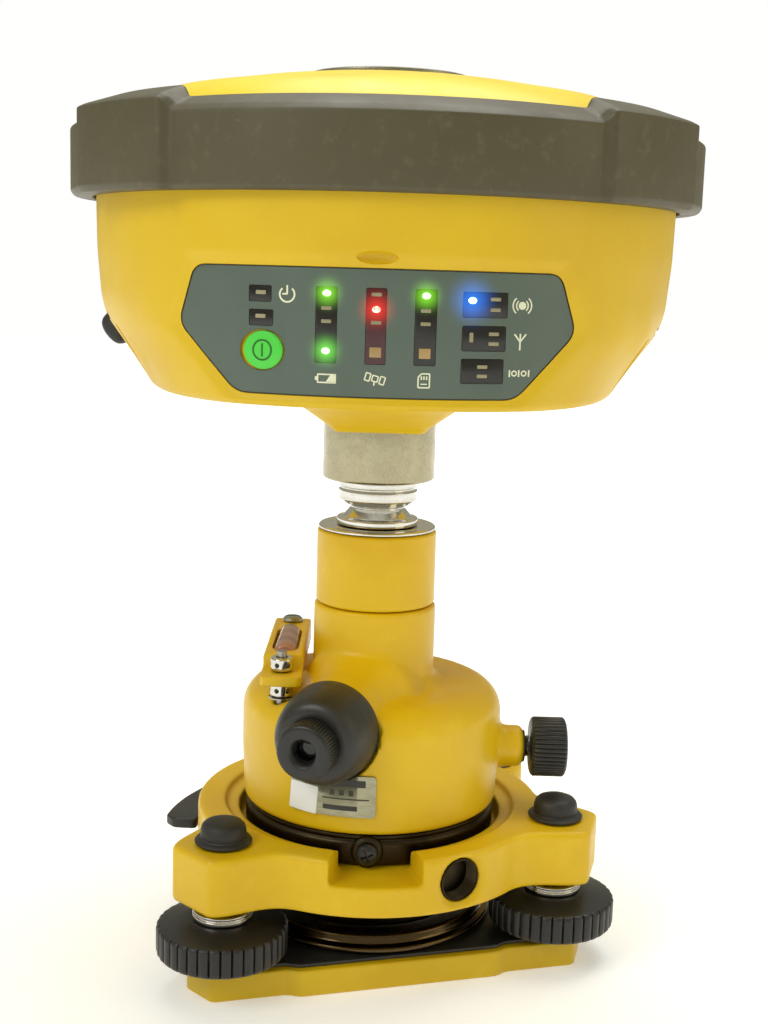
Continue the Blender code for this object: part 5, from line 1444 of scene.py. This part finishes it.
def make_flange():
    low, top, reach = 37.0, 46.3, 39.0
    flange = turned("flange_turned", [
        (16.0, low), (reach - 1.2, low), (reach, low + 1.0), (reach, 43.6), (reach - 0.3, 44.2),
        (reach - 0.8, 44.6),
        (reach - 0.8, 45.0), (reach - 0.4, 45.4), (reach - 0.5, top), (16.0, top)], edge=0.3)
    hub = along((0, -1, 0), (0, -30.0, 41.5))
    join(flange, turned("key_hub", [(0.0, 0.0), (4.8, 0.0), (4.8, 9.2), (4.4, 9.7), (4.0, 10.0),
                                    (0.0, 10.0)], place=hub,
                        steps=SMALL, edge=0.3))
    for angle in (90.0, 210.0, 330.0):
        join(flange, turned("stud", [
            (0.0, 29.0), (3.8, 29.0), (4.6, 29.8), (4.6, 30.2), (3.0, 30.4), (3.0, 32.6), (4.6, 33.0),
            (4.6, 38.5),
            (0.0, 38.5)], place=at(*polar(28.0, angle), 0), steps=SMALL))
    cut(flange, rod("key_bore", 1.8, 2.0, 12.0, place=hub, steps=FINE))
    show(dressed(sharpen(flange), flange_dark), "tribrach", "black_metal", "adapter_flange")
    screw = turned("key_screw_cross", [
        (0.0, 4.0), (1.5, 4.0), (1.5, 10.3), (3.2, 10.3), (3.25, 11.3), (2.7, 12.1), (1.6, 12.5),
        (0.0, 12.6)],
        place=hub, steps=SMALL, edge=0.2)
    for turn in (20.0, 110.0):
        cut(screw, box("cross", (-1.9, -0.36, 11.4), (1.9, 0.36, 14.0),
                       place=hub @ Matrix.Rotation(radians(turn), 4, "Z")))
    show(dressed(sharpen(screw), knob_plastic), "tribrach", "black_plastic", "key_screw")


# --- pieces carried over from the CAD -------------------------------------------------------

CARRIED = {
    "tripod_bush": brass, "axis_spindle": dull_steel, "clamp_ring": dull_steel,
    "tribrach_cover": black_plastic,
    "plummet_objective": clear_glass, "plummet_prism": clear_glass, "vial_post": dull_steel,
    "mount_insert": brass,
    "housing_gasket": soft_rubber, "main_board": board_green, "ground_plane": copper,
    "antenna_element": ceramic,
    "receiver_module": cap_foil, "battery_pack": black_plastic, "card_reader": board_green}


def finish_carried():
    for node, finish in CARRIED.items():
        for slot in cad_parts[node].material_slots:
            slot.material = finish


# --- the studio -----------------------------------------------------------------------------

def make_floor():
    made = Finish("pale_floor", (248, 248, 246), 0.9, Specular_IOR_Level=0.0, Emission_Strength=0.9)
    # Painted light: the floor glows, at full strength within 450 mm of the middle and at 0.3 of that from
    # 1300 mm out.
    near = made.spot((0.0, 0.0, 0.0), 450.0, 1300.0)
    made.feed(made.shader.inputs["Emission Color"], made.mix(near, (1.0, 1.0, 1.0, 1.0),
                                                             (0.3, 0.3, 0.3, 1.0)))
    made.tint(made.remap(made.noise(400.0), 0.35, 0.7), (242, 242, 240), 0.6)
    made.raise_by(made.noise(1.2, 3.0), 0.01)
    build = bmesh.new()
    ring = [build.verts.new((x, y, 0.0)) for x, y in circle(4000.0, 64)]
    build.faces.new(ring)
    floor = finish_mesh("studio_floor", build, made.close())
    floor.location.z = -0.02 * MM


def make_light(name, place, target, width, height, power, colour):
    data = bpy.data.lights.new(name, "AREA")
    data.shape, data.size, data.size_y = "RECTANGLE", width, height
    data.energy, data.color = power, colour
    light = bpy.data.objects.new(name, data)
    light.location = place
    light.rotation_euler = (Vector(target) - Vector(place)).to_track_quat("-Z", "Y").to_euler()
    bpy.context.scene.collection.objects.link(light)


def make_studio():
    make_floor()
    world = bpy.data.worlds.new("studio")
    bpy.context.scene.world = world
    world.use_nodes = True
    nodes, links = world.node_tree.nodes, world.node_tree.links
    back = nodes["Background"]
    place = nodes.new("ShaderNodeTexCoord").outputs["Generated"]
    split = nodes.new("ShaderNodeSeparateXYZ")
    links.new(place, split.inputs[0])
    ramp = nodes.new("ShaderNodeMapRange")
    ramp.inputs["From Min"].default_value, ramp.inputs["From Max"].default_value = -0.1, 0.8
    links.new(split.outputs[2], ramp.inputs[0])
    sky = nodes.new("ShaderNodeMix")
    sky.data_type = "RGBA"
    sky.inputs[6].default_value, sky.inputs[7].default_value = (0.36, 0.33, 0.21, 1), (0.52, 0.52, 0.46, 1)
    links.new(ramp.outputs[0], sky.inputs[0])
    seen = nodes.new("ShaderNodeMix")
    seen.data_type = "RGBA"
    seen.inputs[7].default_value = (1.0, 1.0, 0.99, 1)
    rays = nodes.new("ShaderNodeLightPath")
    links.new(rays.outputs["Is Camera Ray"], seen.inputs[0])
    links.new(sky.outputs[2], seen.inputs[6])
    links.new(seen.outputs[2], back.inputs["Color"])
    make_light("key", (-0.75, -0.7, 0.95), (0.0, 0.0, 0.17), 0.7, 0.5, 5.6, (1.0, 0.99, 0.95))
    make_light("top", (0.1, 0.25, 1.15), (0.0, 0.0, 0.2), 0.9, 0.7, 7.5, (1.0, 1.0, 0.98))
    make_light("side", (0.9, -0.35, 0.5), (0.0, 0.0, 0.15), 0.5, 0.6, 1.3, (1.0, 0.86, 0.55))


def make_camera():
    data = bpy.data.cameras.new("camera")
    data.sensor_width, data.lens = 36.0, 50.0
    camera = bpy.data.objects.new("camera", data)
    bpy.context.scene.collection.objects.link(camera)
    turn = Matrix.Rotation(radians(90.0 - EYE_DOWN), 4, "X") @ Matrix.Rotation(radians(EYE_ROLL), 4, "Z")
    camera.matrix_world = Matrix.Translation(Vector((EYE_ASIDE, -EYE_DISTANCE, EYE_HEIGHT)) * MM) @ turn
    bpy.context.scene.camera = camera


def main():
    make_housing()
    make_doors()
    make_panel()
    make_chips()
    make_icons()
    make_button()
    make_band()
    make_dome()
    make_adapter_body()
    make_neck()
    make_name_plate()
    make_plummet()
    make_clamp()
    make_vial()
    make_base()
    make_feet()
    make_tribrach_body()
    make_lever()
    make_flange()
    finish_carried()
    make_studio()
    make_camera()
    bpy.context.scene.view_settings.view_transform = "Standard"


main()
